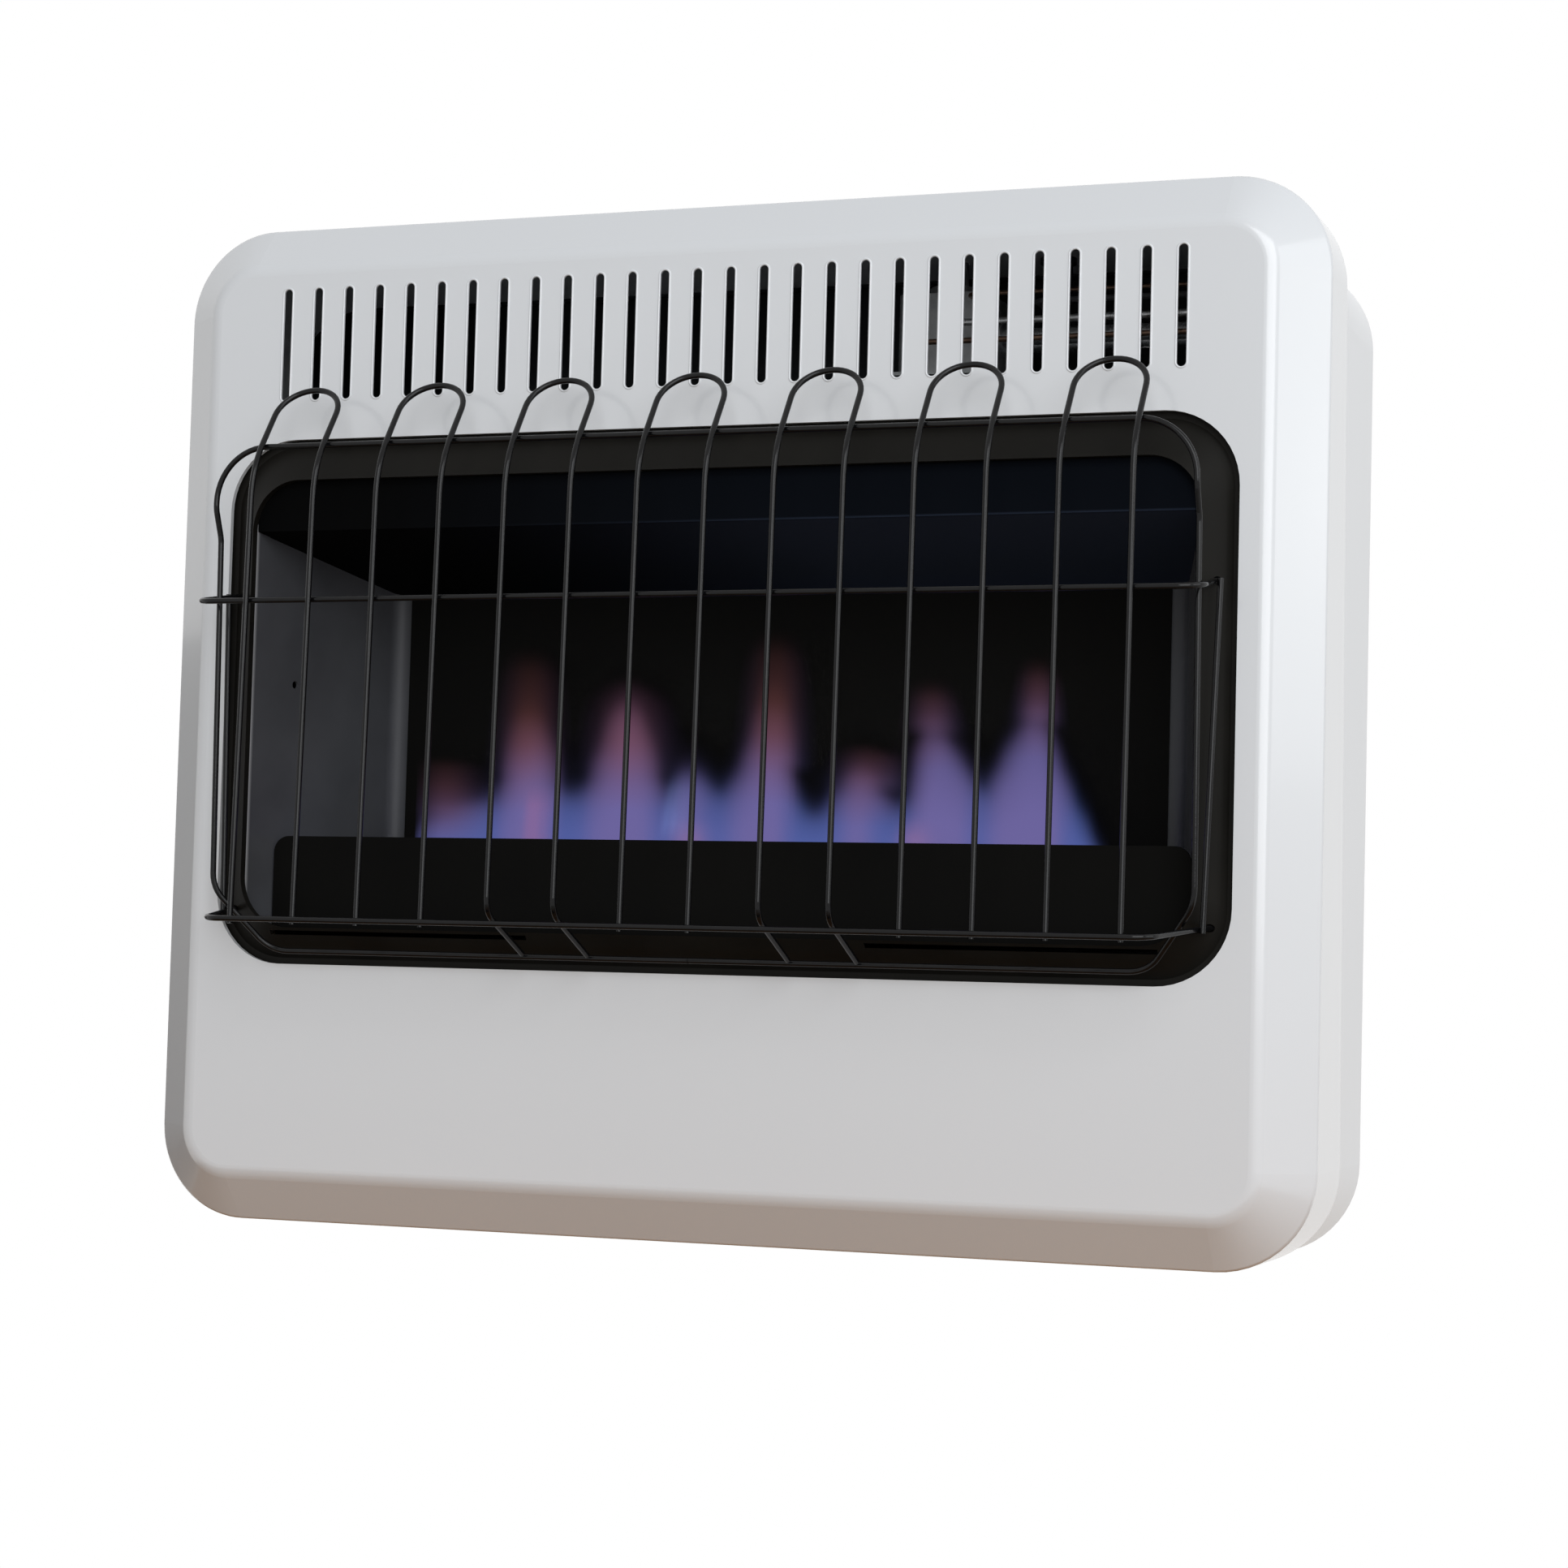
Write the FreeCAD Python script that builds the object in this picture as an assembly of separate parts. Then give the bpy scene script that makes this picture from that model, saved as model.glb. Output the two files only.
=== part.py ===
"""Wall-hung ventless gas heater: pressed white cover and casing, black firebox with a blue-flame burner,
wire guard, gas control with push-and-turn knob, spark igniter, regulator and tubing.

Millimetres. +X to the viewer's right, +Y back to the wall, +Z up. The origin is on the wall plane,
in the middle of the four wall screws. Depths are measured back from the flat front of the cover."""
import FreeCAD, Part
import math
import os

V = FreeCAD.Vector
os.makedirs("parts", exist_ok=True)

# Overall size and sheet
WIDTH = 665.0            # cover, left to right
HEIGHT = 566.0           # cover, bottom to top
DEPTH = 150.0            # flat front to wall
COVER_DEPTH = 60.0       # flat front to the cover's rear edge, at the top
COVER_FLARE = 26.0       # the cover is this much deeper at the bottom
CORNER_R = 52.0          # outer corners of cover and casing
BEVEL_INSET = 26.7       # bevel round the front, seen from the front
BEVEL_DEPTH = 21.5       # bevel round the front, seen from the side
FRONT_BEND_R = 12.0      # soft bend between flat front and bevel
EDGE_BEND_R = 3.0        # tighter bend between bevel and side wall
COVER_T = 1.2
SHEET_T = 1.0
PANEL_T = 1.5
PLATE_T = 2.0            # plate under the gas control
SLIP = 0.4               # slip fit of the cover over the casing
SEAT = 0.2               # assembly gap where loose sheets and wires meet
CASING_LEAD = 8.0        # the casing's front edge starts this far behind the bevel
CASING_DROP = 20.0       # the casing's top below the cover's
BACK_LIP = 10.0          # lip round the back panel

# Slots and opening of the cover
SLOT_COUNT = 28
SLOT_W = 5.0
SLOT_LENGTH = 63.8
SLOT_BORDER = 39.2       # cover's top edge to the slots
SLOT_SIDE_BORDER = 73.3  # cover's side edges to the middle of the outer slots
SIDE_BORDER = 41.5       # cover's side edges to the opening
TOP_BORDER = 125.5       # cover's top edge to the opening
BOTTOM_BORDER = 144.5    # cover's bottom edge to the opening
OPEN_R = 40.0
OPEN_HEM = 3.0           # lip turned inward round the opening

# Air inlets in the casing's bottom
AIR_SLOT_COUNT = 24
AIR_SLOT_W = 6.0
AIR_SLOT_LENGTH = 40.0
AIR_SLOT_PITCH = 17.0
AIR_SLOT_SHIFT = 36.0    # the row stands to the left, clear of the regulator
AIR_SLOT_BORDER = 8.0    # the inlets end this far in front of the back panel's lip

# Firebox
BEZEL_DEPTH = 5.0        # front of the bezel's flat flange
BEZEL_FLANGE = 14.0      # flange hidden behind the cover
BEZEL_GAP = 3.5          # dark gap between the opening and the bezel's raised rim
BEZEL_PROUD = 7.0        # the bezel's inner edge, in front of the flat front
BEZEL_SIDE_W = 14.9      # sloping face, seen from the front, at the sides
BEZEL_TOP_W = 20.5
BEZEL_SILL = 16.8        # sloping face at the bottom
BEZEL_LIP = 4.0          # lip turned back from the inner edge
BEZEL_INNER_R = 28.0     # corners of the throat
SILL_SLOT_W = 2.4
SILL_SLOT_DROP = 2.8     # slits below the throat's bottom edge
SILL_SLOT_LENGTH = 157.0
SILL_SLOT_BORDER = 18.6  # throat's sides to the slits in the sill
FIREBOX_BACK_DEPTH = 112.0
FIREBOX_TAPER = 33.4     # lean of each side, in towards the back wall
FLOOR_LEDGE = 8.0        # the floor reaches past the sides
DEFLECTOR_DROP = 27.0    # top of the throat to the line of the deflector
DEFLECTOR_FALL = 24.5    # fall of the deflector from the throat to the back wall
DEFLECTOR_LEAD = 2.0     # the deflector's rear face behind the bezel's flange
DEFLECTOR_REACH = 4.0    # the deflector's rear edge rests over the back wall
DEFLECTOR_LAP = 3.0      # the deflector reaches past the throat's sides
HOOD_DROP = 4.0          # the hood's strap under the bezel flange's top edge
SIDE_BEND_R = 9.0
SIDE_LAP = 16.0          # flange of each side behind the back wall
EYE_DEPTH = 38.0         # screw hole in the left side, behind the throat
EYE_RISE = 139.4         # screw hole in the left side, above the floor
SHIELD_H = 52.2
SHIELD_SETBACK = 25.0    # shield behind the throat
SHIELD_LIP = 8.0
SHIELD_CORNER = 9.0
BURNER_DEPTH = 80.0
BURNER_RISE = 32.2       # middle of the burner above the floor
BURNER_R = 14.0
BURNER_WALL = 1.0
BURNER_END_ROOM = 43.3   # ends of the port row to the firebox sides
BURNER_HOLE_CLEAR = 0.6
PORT_COUNT = 40
PORT_W = 2.0
PORT_LENGTH = 12.0
PORT_BORDER = 10.0       # burner's end to the first port
MIXER_WINDOW = 16.0      # air window in the mixer's end
MIXER_END = 6.0
SADDLE_W = 12.0
SADDLE_WALL = 4.0
SADDLE_DROP = 2.0        # the saddles end below the burner's middle
SADDLE_FIT = 0.05
ORIFICE_R = 8.0
ORIFICE_LENGTH = 10.0
ORIFICE_PLUG = 5.0
ORIFICE_BORE_R = 1.0

# Wire guard
WIRE_R = 1.6
GUARD_OUT = 53.0         # bend of the uprights, in front of the flat front
GUARD_LEAN = 7.0         # the uprights stand this much further out at the lower bar
HAIRPIN_COUNT = 7
LONG_UPRIGHTS = (4, 5, 8, 9)
GUARD_SIDE_GAP = 29.4    # outer uprights to the sides of the frame
HAIRPIN_RISE = 24.0      # top of the hairpins above the opening's top edge
HAIRPIN_BEND_DROP = 23.5  # bend of the hairpins below the opening's top edge
HAIRPIN_BEND_R = 60.0
HAIRPIN_TAIL_R = 12.0
HAIRPIN_STANDOFF = 19.0  # top of the hairpins, in front of the flat front
HAIRPIN_FOOT = 1.0       # short uprights end this far past the lower bar
TAIL_RISE = 6.0          # long uprights bend back this far above the lower bar
RAIL_DROP = 10.5         # top rail below the opening's top edge
FRAME_INSET = 13.0       # sides of the frame inside the opening
FRAME_CORNER_R = 34.0
FRAME_FOOT_INSET = 27.2  # the bottom rail's straight part ends inside the sides
FRAME_OUT = 33.0         # sides of the frame, in front of the flat front
FRAME_LEAN = 5.0         # the sides stand this much further back at the bottom
JOG_LENGTH = 16.0        # the sides jog back from the top rail
WELD_END = 0.4           # the frame wire is closed by a butt weld under the sill
BOTTOM_RAIL_RISE = 7.2   # bottom rail above the opening's bottom edge
BOTTOM_RAIL_OUT = 9.0
MID_BAR_DROP = 97.4      # mid bar below the opening's top edge
MID_BAR_INSET = 7.0      # ends of the mid bar inside the opening
MID_HOLE_RISE = 9.4
LOWER_BAR_RISE = 23.8    # lower bar above the opening's bottom edge
LOWER_BAR_INSET = 28.0   # ends of the lower bar inside the opening
LOWER_HOLE_RISE = 6.7
BAR_BEND_R = 12.0
HOLE_CLEAR = 0.5         # wire holes in the bezel
HOLE_REACH = 4.0         # how far the bar ends reach through the bezel
STAY_SHARE = 0.75        # the side stays cross the bars' legs this far back

# Screws and straps
SCREW_R = 1.9
SCREW_HOLE_R = 2.2
SCREW_LENGTH = 6.0
SCREW_HEAD_R = 3.8
SCREW_HEAD_H = 2.2
COVER_SCREW_BORDER = 110.0  # cover's side edges to its screws
COVER_SCREW_SETBACK = 14.0  # cover's rear edge to its screws
BEZEL_SCREW_DROP = 30.0  # upper bezel screws below the opening's top edge
BEZEL_SCREW_RISE = 80.0  # lower bezel screws above the opening's bottom edge
STRAP_W = 26.0
STRAP_TOE = 6.0
STRAP_HEEL = 16.0
STRAP_INSET = 1.0        # straps inside the edge of the bezel's flange
BAFFLE_RISE = 6.0        # upper baffle above the bezel's flange
BAFFLE_FRONT = 34.0
BAFFLE_LIP = 10.0
BAFFLE_FOOT = 14.0

# Gas control and ignition
CONTROL_X = 105.0
CONTROL_DEPTH = 100.0
VALVE_W = 52.0
VALVE_D = 42.0
VALVE_H = 44.0
VALVE_LIFT = 20.0        # valve above the upper baffle
VALVE_CORNER_R = 5.0
BRACKET_BORDER = 6.0     # control bracket past the valve's sides
BRACKET_LEAD = 4.0       # control bracket past the valve's front
BRACKET_RISE = 40.0
COLLAR_WALL = 4.0        # valve collar round the spindle
COLLAR_STEP = 5.0
COLLAR_STEP_H = 6.0
COLLAR_TOP = 0.5         # collar's end below the top of the casing
BOSS_WALL = 2.5          # port bosses round the tubes
BOSS_LENGTH = 7.0
BOSS_ROOT = 1.0
BOSS_RISE = 19.8         # port bosses above the valve's base
SUPPLY_BACK = 11.0       # supply port behind the spindle
OUTLET_FRONT = 9.0       # burner port in front of the spindle
SPINDLE_R = 4.0
SPINDLE_FIT = 0.05       # running fit of the spindle
SPINDLE_DEEP = 12.0      # spindle's foot below the valve's top
SPINDLE_ROOM = 2.0
KNOB_R = 19.0
KNOB_H = 11.0
KNOB_EDGE_R = 2.0
KNOB_TOP_T = 3.0         # knob's top over the spindle's end
KNOB_PUSH = 4.0
KNOB_CLEAR = 1.0         # room left under the knob when it is pushed
FLUTE_COUNT = 18
FLUTE_R = 1.5
FLUTE_OUT = 0.5
FLUTE_RISE = 2.0
POINTER_W = 2.0
POINTER_DEEP = 0.8
POINTER_BORDER = 4.0
POINTER_INNER = 6.0
IGNITER_STEP = 60.0      # igniter to the right of the control
IGNITER_R = 8.0
IGNITER_RIM = 2.0
IGNITER_RIM_H = 2.0
IGNITER_NUT_H = 3.0
IGNITER_LENGTH = 26.0
BUTTON_R = 6.0
BUTTON_TRAVEL = 5.0
BUTTON_FIT = 0.3
BUTTON_DEEP = 16.0
BUTTON_PROUD = 6.5
BUTTON_EDGE_R = 1.2
BUTTON_ROOM = 1.0        # room left under the button when it is pushed

# Pilot
PILOT_SIDE_ROOM = 35.6   # pilot burner to the right-hand firebox side
PILOT_FRONT = 10.0       # pilot in front of the burner
PILOT_DROP = 10.0        # pilot plate below the burner's top
PILOT_SPREAD = 9.0       # spacing of electrode, pilot burner and thermocouple
PILOT_BELOW = 12.0
PILOT_ABOVE = 12.0
PILOT_T = 1.5
PILOT_HALF_D = 7.0
PILOT_LEFT = 16.0
PILOT_RIGHT = 13.0
PILOT_FOOT = 12.0
ELECTRODE_R = 2.4
PILOT_BURNER_R = 3.6
THERMOCOUPLE_R = 2.6
PILOT_COLLAR = 1.2
PILOT_COLLAR_H = 3.0
PILOT_JET_R = 1.6
PILOT_JET_DROP = 5.0
SPARK_PIN_R = 0.8
SPARK_PIN_LENGTH = 4.0

# Gas supply and leads
TUBE_R = 4.75
PILOT_TUBE_R = 2.0
LEAD_R = 1.6
TUBE_SIDE_ROOM = 16.9    # casing's side to the tubes running down it
TUBE_BEND_R = 16.0
ELBOW_R = 10.0
ELBOW_ROOM = 15.0        # orifice fitting's end to the middle of the tube run
REGULATOR_SIDE_ROOM = 80.9  # casing's side to the middle of the regulator
REGULATOR_DEPTH = 112.0
REGULATOR_SIZE = 44.0
REGULATOR_H = 66.4
REGULATOR_CORNER_R = 6.0
CAP_R = 15.0
CAP_H = 8.0
INLET_R = 7.25
INLET_LENGTH = 14.0
INLET_HOLE_R = 16.0
SUPPLY_RISE = 48.0       # supply tube's straight rise above the regulator
SUPPLY_SWEEP = 40.0      # height of its sweep over to the casing's side
BULB_R = 4.5
BULB_LENGTH = 90.0
BULB_X = 70.0            # left end of the thermostat bulb
BULB_DEPTH = 68.0
CLIP_W = 8.0
CLIP_WALL = 2.0
CLIP_INSET = 14.0
CLIP_H = 12.0            # middle of the bulb above the casing's bottom
CLIP_GRIP = 2.7          # the clips reach this far above the bulb's middle
CLIP_FIT = 0.05
CAPILLARY_R = 1.2
CAPILLARY_SIDE_ROOM = 9.9  # casing's side to the capillary
CAPILLARY_LEAD = 24.0
CAPILLARY_SWEEP = 80.0   # height of its sweep over to the casing's side
CAPILLARY_DROP = 4.0     # capillary below the valve's top
CAPILLARY_STEP = 18.0    # capillary to the right of the spindle
LEAD_SIDE_ROOM = 5.0     # first lead past the firebox straps
LEAD_RUN_STEP = 5.0      # spacing of the leads running up the right-hand side
LEAD_STEP = 6.0          # spacing of the leads where they leave the firebox
LEAD_LOW = 13.0          # middle lead above the floor
LEAD_HIGH = 12.0         # first lead above the valve's base
LEAD_RISE = 10.0         # spacing of the leads where they cross to the control
LEAD_SPREAD = 10.0       # leads either side of the spindle
LEAD_BEND_R = 5.0
LEAD_WINDOW = 4.0        # room round the leads in the firebox side

# Wall fixing
WALL_SPACING_X = 406.4
WALL_SPACING_Z = 380.0
WALL_HOLE_R = 3.25

PAST = 1.0               # cutters reach this far past the sheet they cut
HALF_W = WIDTH / 2
HALF_H = HEIGHT / 2
CASING_INSET = COVER_T + SLIP
CASING_HALF_W = HALF_W - CASING_INSET
CASING_HALF_H = HALF_H - CASING_INSET
CASING_TOP = HALF_H - CASING_DROP
CASING_R = CORNER_R - CASING_INSET
OPEN_HALF_W = HALF_W - SIDE_BORDER
OPEN_TOP = HALF_H - TOP_BORDER
OPEN_BOTTOM = BOTTOM_BORDER - HALF_H
UP = V(0, 0, 1)
BACK = V(0, 1, 0)
RIGHT = V(1, 0, 0)


def fy(depth):
    """Y of a depth measured back from the flat front."""
    return depth - DEPTH


def save(name, *solids):
    shape = solids[0] if len(solids) == 1 else Part.makeCompound(list(solids))
    shape.exportStep("parts/" + name + ".step")


def rounded_wire(x0, x1, z0, z1, radius, depth):
    """Rounded rectangle facing the front, at a depth."""
    y = fy(depth)
    k = radius * (1 - math.sqrt(0.5))
    p = [V(x0 + radius, y, z0), V(x1 - radius, y, z0), V(x1, y, z0 + radius), V(x1, y, z1 - radius),
         V(x1 - radius, y, z1), V(x0 + radius, y, z1), V(x0, y, z1 - radius), V(x0, y, z0 + radius)]
    mids = [V(x1 - k, y, z0 + k), V(x1 - k, y, z1 - k), V(x0 + k, y, z1 - k), V(x0 + k, y, z0 + k)]
    edges = []
    for i in range(4):
        a, b, c = p[2 * i], p[2 * i + 1], p[(2 * i + 2) % 8]
        edges.append(Part.LineSegment(a, b).toShape())
        edges.append(Part.Arc(b, mids[i], c).toShape())
    return Part.Wire(edges)


def rounded_block(x0, x1, z0, z1, radius, depth0, depth1):
    face = Part.Face(rounded_wire(x0, x1, z0, z1, radius, depth0))
    return face.extrude(V(0, depth1 - depth0, 0))


def rounded_loft(front, back):
    """Solid between two rounded rectangles, each (x0, x1, z0, z1, radius, depth)."""
    return Part.makeLoft([rounded_wire(*front), rounded_wire(*back)], True, True)


def box(x0, x1, depth0, depth1, z0, z1):
    return Part.makeBox(x1 - x0, depth1 - depth0, z1 - z0, V(x0, fy(depth0), z0))


def prism(points):
    """Block as wide as the cover on an outline given as (depth, z)."""
    wire = Part.makePolygon([V(-HALF_W, fy(d), z) for d, z in points + points[:1]])
    return Part.Face(wire).extrude(V(WIDTH, 0, 0))


def cyl(radius, length, x, depth, z, axis):
    return Part.makeCylinder(radius, length, V(x, fy(depth), z), axis)


def slot_cut(x, z0, z1, width, depth0, depth1):
    """Upright slot with round ends."""
    return rounded_block(x - width / 2, x + width / 2, z0, z1, width / 2 - 0.01, depth0, depth1)


def bent_wire(points, radius, bends):
    """Round wire along points given as (x, depth, z), each corner a tangent arc; bends is one radius
    for all corners, or one for each."""
    pts = [V(x, fy(d), z) for x, d, z in points]
    if not isinstance(bends, (list, tuple)):
        bends = [bends] * (len(pts) - 2)
    edges = []
    start = pts[0]
    for a, b, c, bend in zip(pts, pts[1:], pts[2:], bends):
        u = (a - b).normalize()
        w = (c - b).normalize()
        half = u.getAngle(w) / 2
        cut = bend / math.tan(half)
        bisector = (u + w).normalize()
        centre = b + bisector * (bend / math.sin(half))
        t0 = b + u * cut
        t1 = b + w * cut
        middle = centre - bisector * bend
        edges.append(Part.LineSegment(start, t0).toShape())
        edges.append(Part.Arc(t0, middle, t1).toShape())
        start = t1
    edges.append(Part.LineSegment(start, pts[-1]).toShape())
    path = Part.Wire(edges)
    tangent = (pts[1] - pts[0]).normalize()
    ring = Part.Wire(Part.makeCircle(radius, pts[0], tangent))
    return path.makePipeShell([ring], True, False)


def pan_screw(x, depth, z, axis):
    """Pan-head screw with its head seated at the point and its shank along axis."""
    base = V(x, fy(depth), z)
    crown = base - axis * SCREW_HEAD_H
    head = Part.makeCylinder(SCREW_HEAD_R, SCREW_HEAD_H, crown, axis)
    rim = [e for e in head.Edges if isinstance(e.Curve, Part.Circle) and
           (e.Curve.Center - crown).Length < 0.01]
    head = head.makeFillet(SCREW_HEAD_H * 0.6, rim)
    return head.fuse(Part.makeCylinder(SCREW_R, SCREW_LENGTH, base, axis)).removeSplitter()


# Front cover: flat front with slots and opening, soft bevel, straight side wall
def cover_form(inset, front_depth, rear_depth):
    """The cover's outer form, shrunk by inset all round, from front_depth back."""
    x1 = HALF_W - inset
    z1 = HALF_H - inset
    outer_r = CORNER_R - inset
    tilt = math.atan2(BEVEL_INSET, BEVEL_DEPTH)
    edge_depth = BEVEL_DEPTH + inset * math.tan(tilt / 2)
    rim = (-x1, x1, -z1, z1, outer_r, edge_depth)
    run = BEVEL_INSET - inset * (1 - math.tan(math.pi / 4 - tilt / 2))
    front = (-x1 + run, x1 - run, -z1 + run, z1 - run, outer_r - run, front_depth)
    form = rounded_loft(front, rim).fuse(rounded_block(-x1, x1, -z1, z1, outer_r, edge_depth, rear_depth))
    form = form.removeSplitter()

    def edges_at(depth):
        return [e for e in form.Edges if abs(e.BoundBox.YMin - fy(depth)) < 0.01
                and abs(e.BoundBox.YMax - fy(depth)) < 0.01]
    form = form.makeFillet(FRONT_BEND_R - inset, edges_at(front_depth))
    return form.makeFillet(EDGE_BEND_R - inset, edges_at(edge_depth))


cover_rear = COVER_DEPTH + COVER_FLARE
cover = cover_form(0, 0, cover_rear).cut(cover_form(COVER_T, COVER_T, cover_rear + PAST))
cover = cover.cut(prism([(COVER_DEPTH, HALF_H), (cover_rear, -HALF_H), (DEPTH, -HALF_H), (DEPTH, HALF_H)]))
hem = rounded_block(-OPEN_HALF_W - COVER_T, OPEN_HALF_W + COVER_T, OPEN_BOTTOM - COVER_T, OPEN_TOP + COVER_T,
                    OPEN_R + COVER_T, COVER_T / 2, OPEN_HEM)
opening = rounded_block(-OPEN_HALF_W, OPEN_HALF_W, OPEN_BOTTOM, OPEN_TOP, OPEN_R, -PAST, OPEN_HEM + PAST)
cover = cover.fuse(hem).cut(opening)
slot_cuts = []
slot_x = HALF_W - SLOT_SIDE_BORDER
slot_top = HALF_H - SLOT_BORDER
for i in range(SLOT_COUNT):
    x = -slot_x + 2 * slot_x * i / (SLOT_COUNT - 1)
    slot_cuts.append(slot_cut(x, slot_top - SLOT_LENGTH, slot_top, SLOT_W, -PAST, COVER_T + PAST))
cover = cover.cut(Part.makeCompound(slot_cuts))

cover_screw_x = HALF_W - COVER_SCREW_BORDER
cover_screw_depth = cover_rear - COVER_SCREW_SETBACK
screw_holes = []
for side in (-1, 1):
    screw_holes.append(cyl(SCREW_HOLE_R, SCREW_LENGTH + 2 * PAST, side * cover_screw_x, cover_screw_depth,
                           -HALF_H - PAST, UP))
cover = cover.cut(Part.makeCompound(screw_holes)).removeSplitter()
save("front_cover", cover)
cover_screws = [pan_screw(side * cover_screw_x, cover_screw_depth, -HALF_H, UP) for side in (-1, 1)]
save("cover_screws", *cover_screws)

# Casing: one wrap of sheet with air inlets in the bottom and holes for the controls in the top
casing_front = BEVEL_DEPTH + CASING_LEAD
inside_x = CASING_HALF_W - SHEET_T
inside_z = CASING_HALF_H - SHEET_T
inside_top = CASING_TOP - SHEET_T
inside_r = CASING_R - SHEET_T
casing = rounded_block(-CASING_HALF_W, CASING_HALF_W, -CASING_HALF_H, CASING_TOP, CASING_R,
                       casing_front, DEPTH)
casing = casing.cut(rounded_block(-inside_x, inside_x, -inside_z, inside_top, inside_r,
                                  casing_front - PAST, DEPTH + PAST))
cut_h = SHEET_T + 2 * PAST
air_rear = DEPTH - BACK_LIP - AIR_SLOT_BORDER
cuts = []
for i in range(AIR_SLOT_COUNT):
    x = (i - (AIR_SLOT_COUNT - 1) / 2) * AIR_SLOT_PITCH - AIR_SLOT_SHIFT
    cuts.append(box(x - AIR_SLOT_W / 2, x + AIR_SLOT_W / 2, air_rear - AIR_SLOT_LENGTH, air_rear,
                    -CASING_HALF_H - PAST, -inside_z + PAST))
cuts += screw_holes
collar_r = SPINDLE_R + COLLAR_WALL
igniter_x = CONTROL_X + IGNITER_STEP
regulator_x = CASING_HALF_W - REGULATOR_SIDE_ROOM
cuts.append(cyl(collar_r + SEAT, cut_h, CONTROL_X, CONTROL_DEPTH, inside_top - PAST, UP))
cuts.append(cyl(IGNITER_R + SEAT, cut_h, igniter_x, CONTROL_DEPTH, inside_top - PAST, UP))
cuts.append(cyl(INLET_HOLE_R, cut_h, regulator_x, REGULATOR_DEPTH, -CASING_HALF_H - PAST, UP))
casing = casing.cut(Part.makeCompound(cuts))
save("casing", casing)

# Back panel: flat sheet set in the casing's rear edge, on the wall, with four wall-screw holes
panel_face = DEPTH - PANEL_T
panel = rounded_block(-inside_x, inside_x, -inside_z, inside_top, inside_r, DEPTH - BACK_LIP, DEPTH)
panel = panel.cut(rounded_block(-inside_x + PANEL_T, inside_x - PANEL_T, -inside_z + PANEL_T,
                                inside_top - PANEL_T, inside_r - PANEL_T, DEPTH - BACK_LIP - PAST,
                                panel_face))
for sx in (-1, 1):
    for sz in (-1, 1):
        panel = panel.cut(cyl(WALL_HOLE_R, PANEL_T + 2 * PAST, sx * WALL_SPACING_X / 2, panel_face - PAST,
                              sz * WALL_SPACING_Z / 2, BACK))
save("back_panel", panel.removeSplitter())

# Bezel: black drawn surround, a flat flange behind the cover and a face that rises forward to the firebox
rim_x = OPEN_HALF_W - BEZEL_GAP
rim_top = OPEN_TOP - BEZEL_GAP
rim_bottom = OPEN_BOTTOM + BEZEL_GAP
rim_r = OPEN_R - BEZEL_GAP
flange_x = OPEN_HALF_W + BEZEL_FLANGE
inner_x = rim_x - BEZEL_SIDE_W
inner_top = rim_top - BEZEL_TOP_W
inner_bottom = rim_bottom + BEZEL_SILL
throat = -BEZEL_PROUD
bezel_rear = BEZEL_DEPTH + SHEET_T
lip_front = throat + SHEET_T
lip_rear = lip_front + BEZEL_LIP


def bezel_plug(shift):
    """Solid under the bezel's sloping face, set back by shift."""
    return rounded_loft((-rim_x, rim_x, rim_bottom, rim_top, rim_r, BEZEL_DEPTH + shift),
                        (-inner_x, inner_x, inner_bottom, inner_top, BEZEL_INNER_R, throat + shift))


def throat_block(grow, depth0, depth1):
    return rounded_block(-inner_x - grow, inner_x + grow, inner_bottom - grow, inner_top + grow,
                         BEZEL_INNER_R + grow, depth0, depth1)


flange = rounded_block(-flange_x, flange_x, OPEN_BOTTOM - BEZEL_FLANGE, OPEN_TOP + BEZEL_FLANGE,
                       OPEN_R + BEZEL_FLANGE, BEZEL_DEPTH, bezel_rear)
bezel = flange.fuse(bezel_plug(0)).cut(bezel_plug(SHEET_T)).fuse(throat_block(SHEET_T, lip_front, lip_rear))
bezel = bezel.cut(throat_block(0, throat - PAST, bezel_rear + PAST))
bezel_space = rounded_block(-flange_x, flange_x, OPEN_BOTTOM - BEZEL_FLANGE, OPEN_TOP + BEZEL_FLANGE,
                            OPEN_R + BEZEL_FLANGE, throat, bezel_rear + SEAT).cut(bezel_plug(SHEET_T + SEAT))

# Guard wires, all bent from one gauge of black wire; crossings are spot welds
weld = 2 * WIRE_R + SEAT
hairpin_top = OPEN_TOP + HAIRPIN_RISE
hairpin_bend_z = OPEN_TOP - HAIRPIN_BEND_DROP
rail_z = OPEN_TOP - RAIL_DROP
bottom_rail_z = OPEN_BOTTOM + BOTTOM_RAIL_RISE
lower_bar_z = OPEN_BOTTOM + LOWER_BAR_RISE
frame_half_w = OPEN_HALF_W - FRAME_INSET
upright_pitch = 2 * (frame_half_w - GUARD_SIDE_GAP) / (2 * HAIRPIN_COUNT - 1)
lean_depth = GUARD_OUT - HAIRPIN_STANDOFF
lean_height = hairpin_top - hairpin_bend_z
lean = math.hypot(lean_depth, lean_height)
rail_on_lean = rail_z - hairpin_bend_z + weld * lean_depth / lean
rail_depth = rail_on_lean * lean_depth / lean_height + weld * lean_height / lean - GUARD_OUT
leg_end = (BEZEL_DEPTH + throat) / 2 + HOLE_REACH
hole_x = (rim_x + inner_x) / 2
mid_bar_z = OPEN_TOP - MID_BAR_DROP


def upright_depth(z):
    return -GUARD_OUT - GUARD_LEAN * (hairpin_bend_z - z) / (hairpin_bend_z - lower_bar_z)


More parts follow.
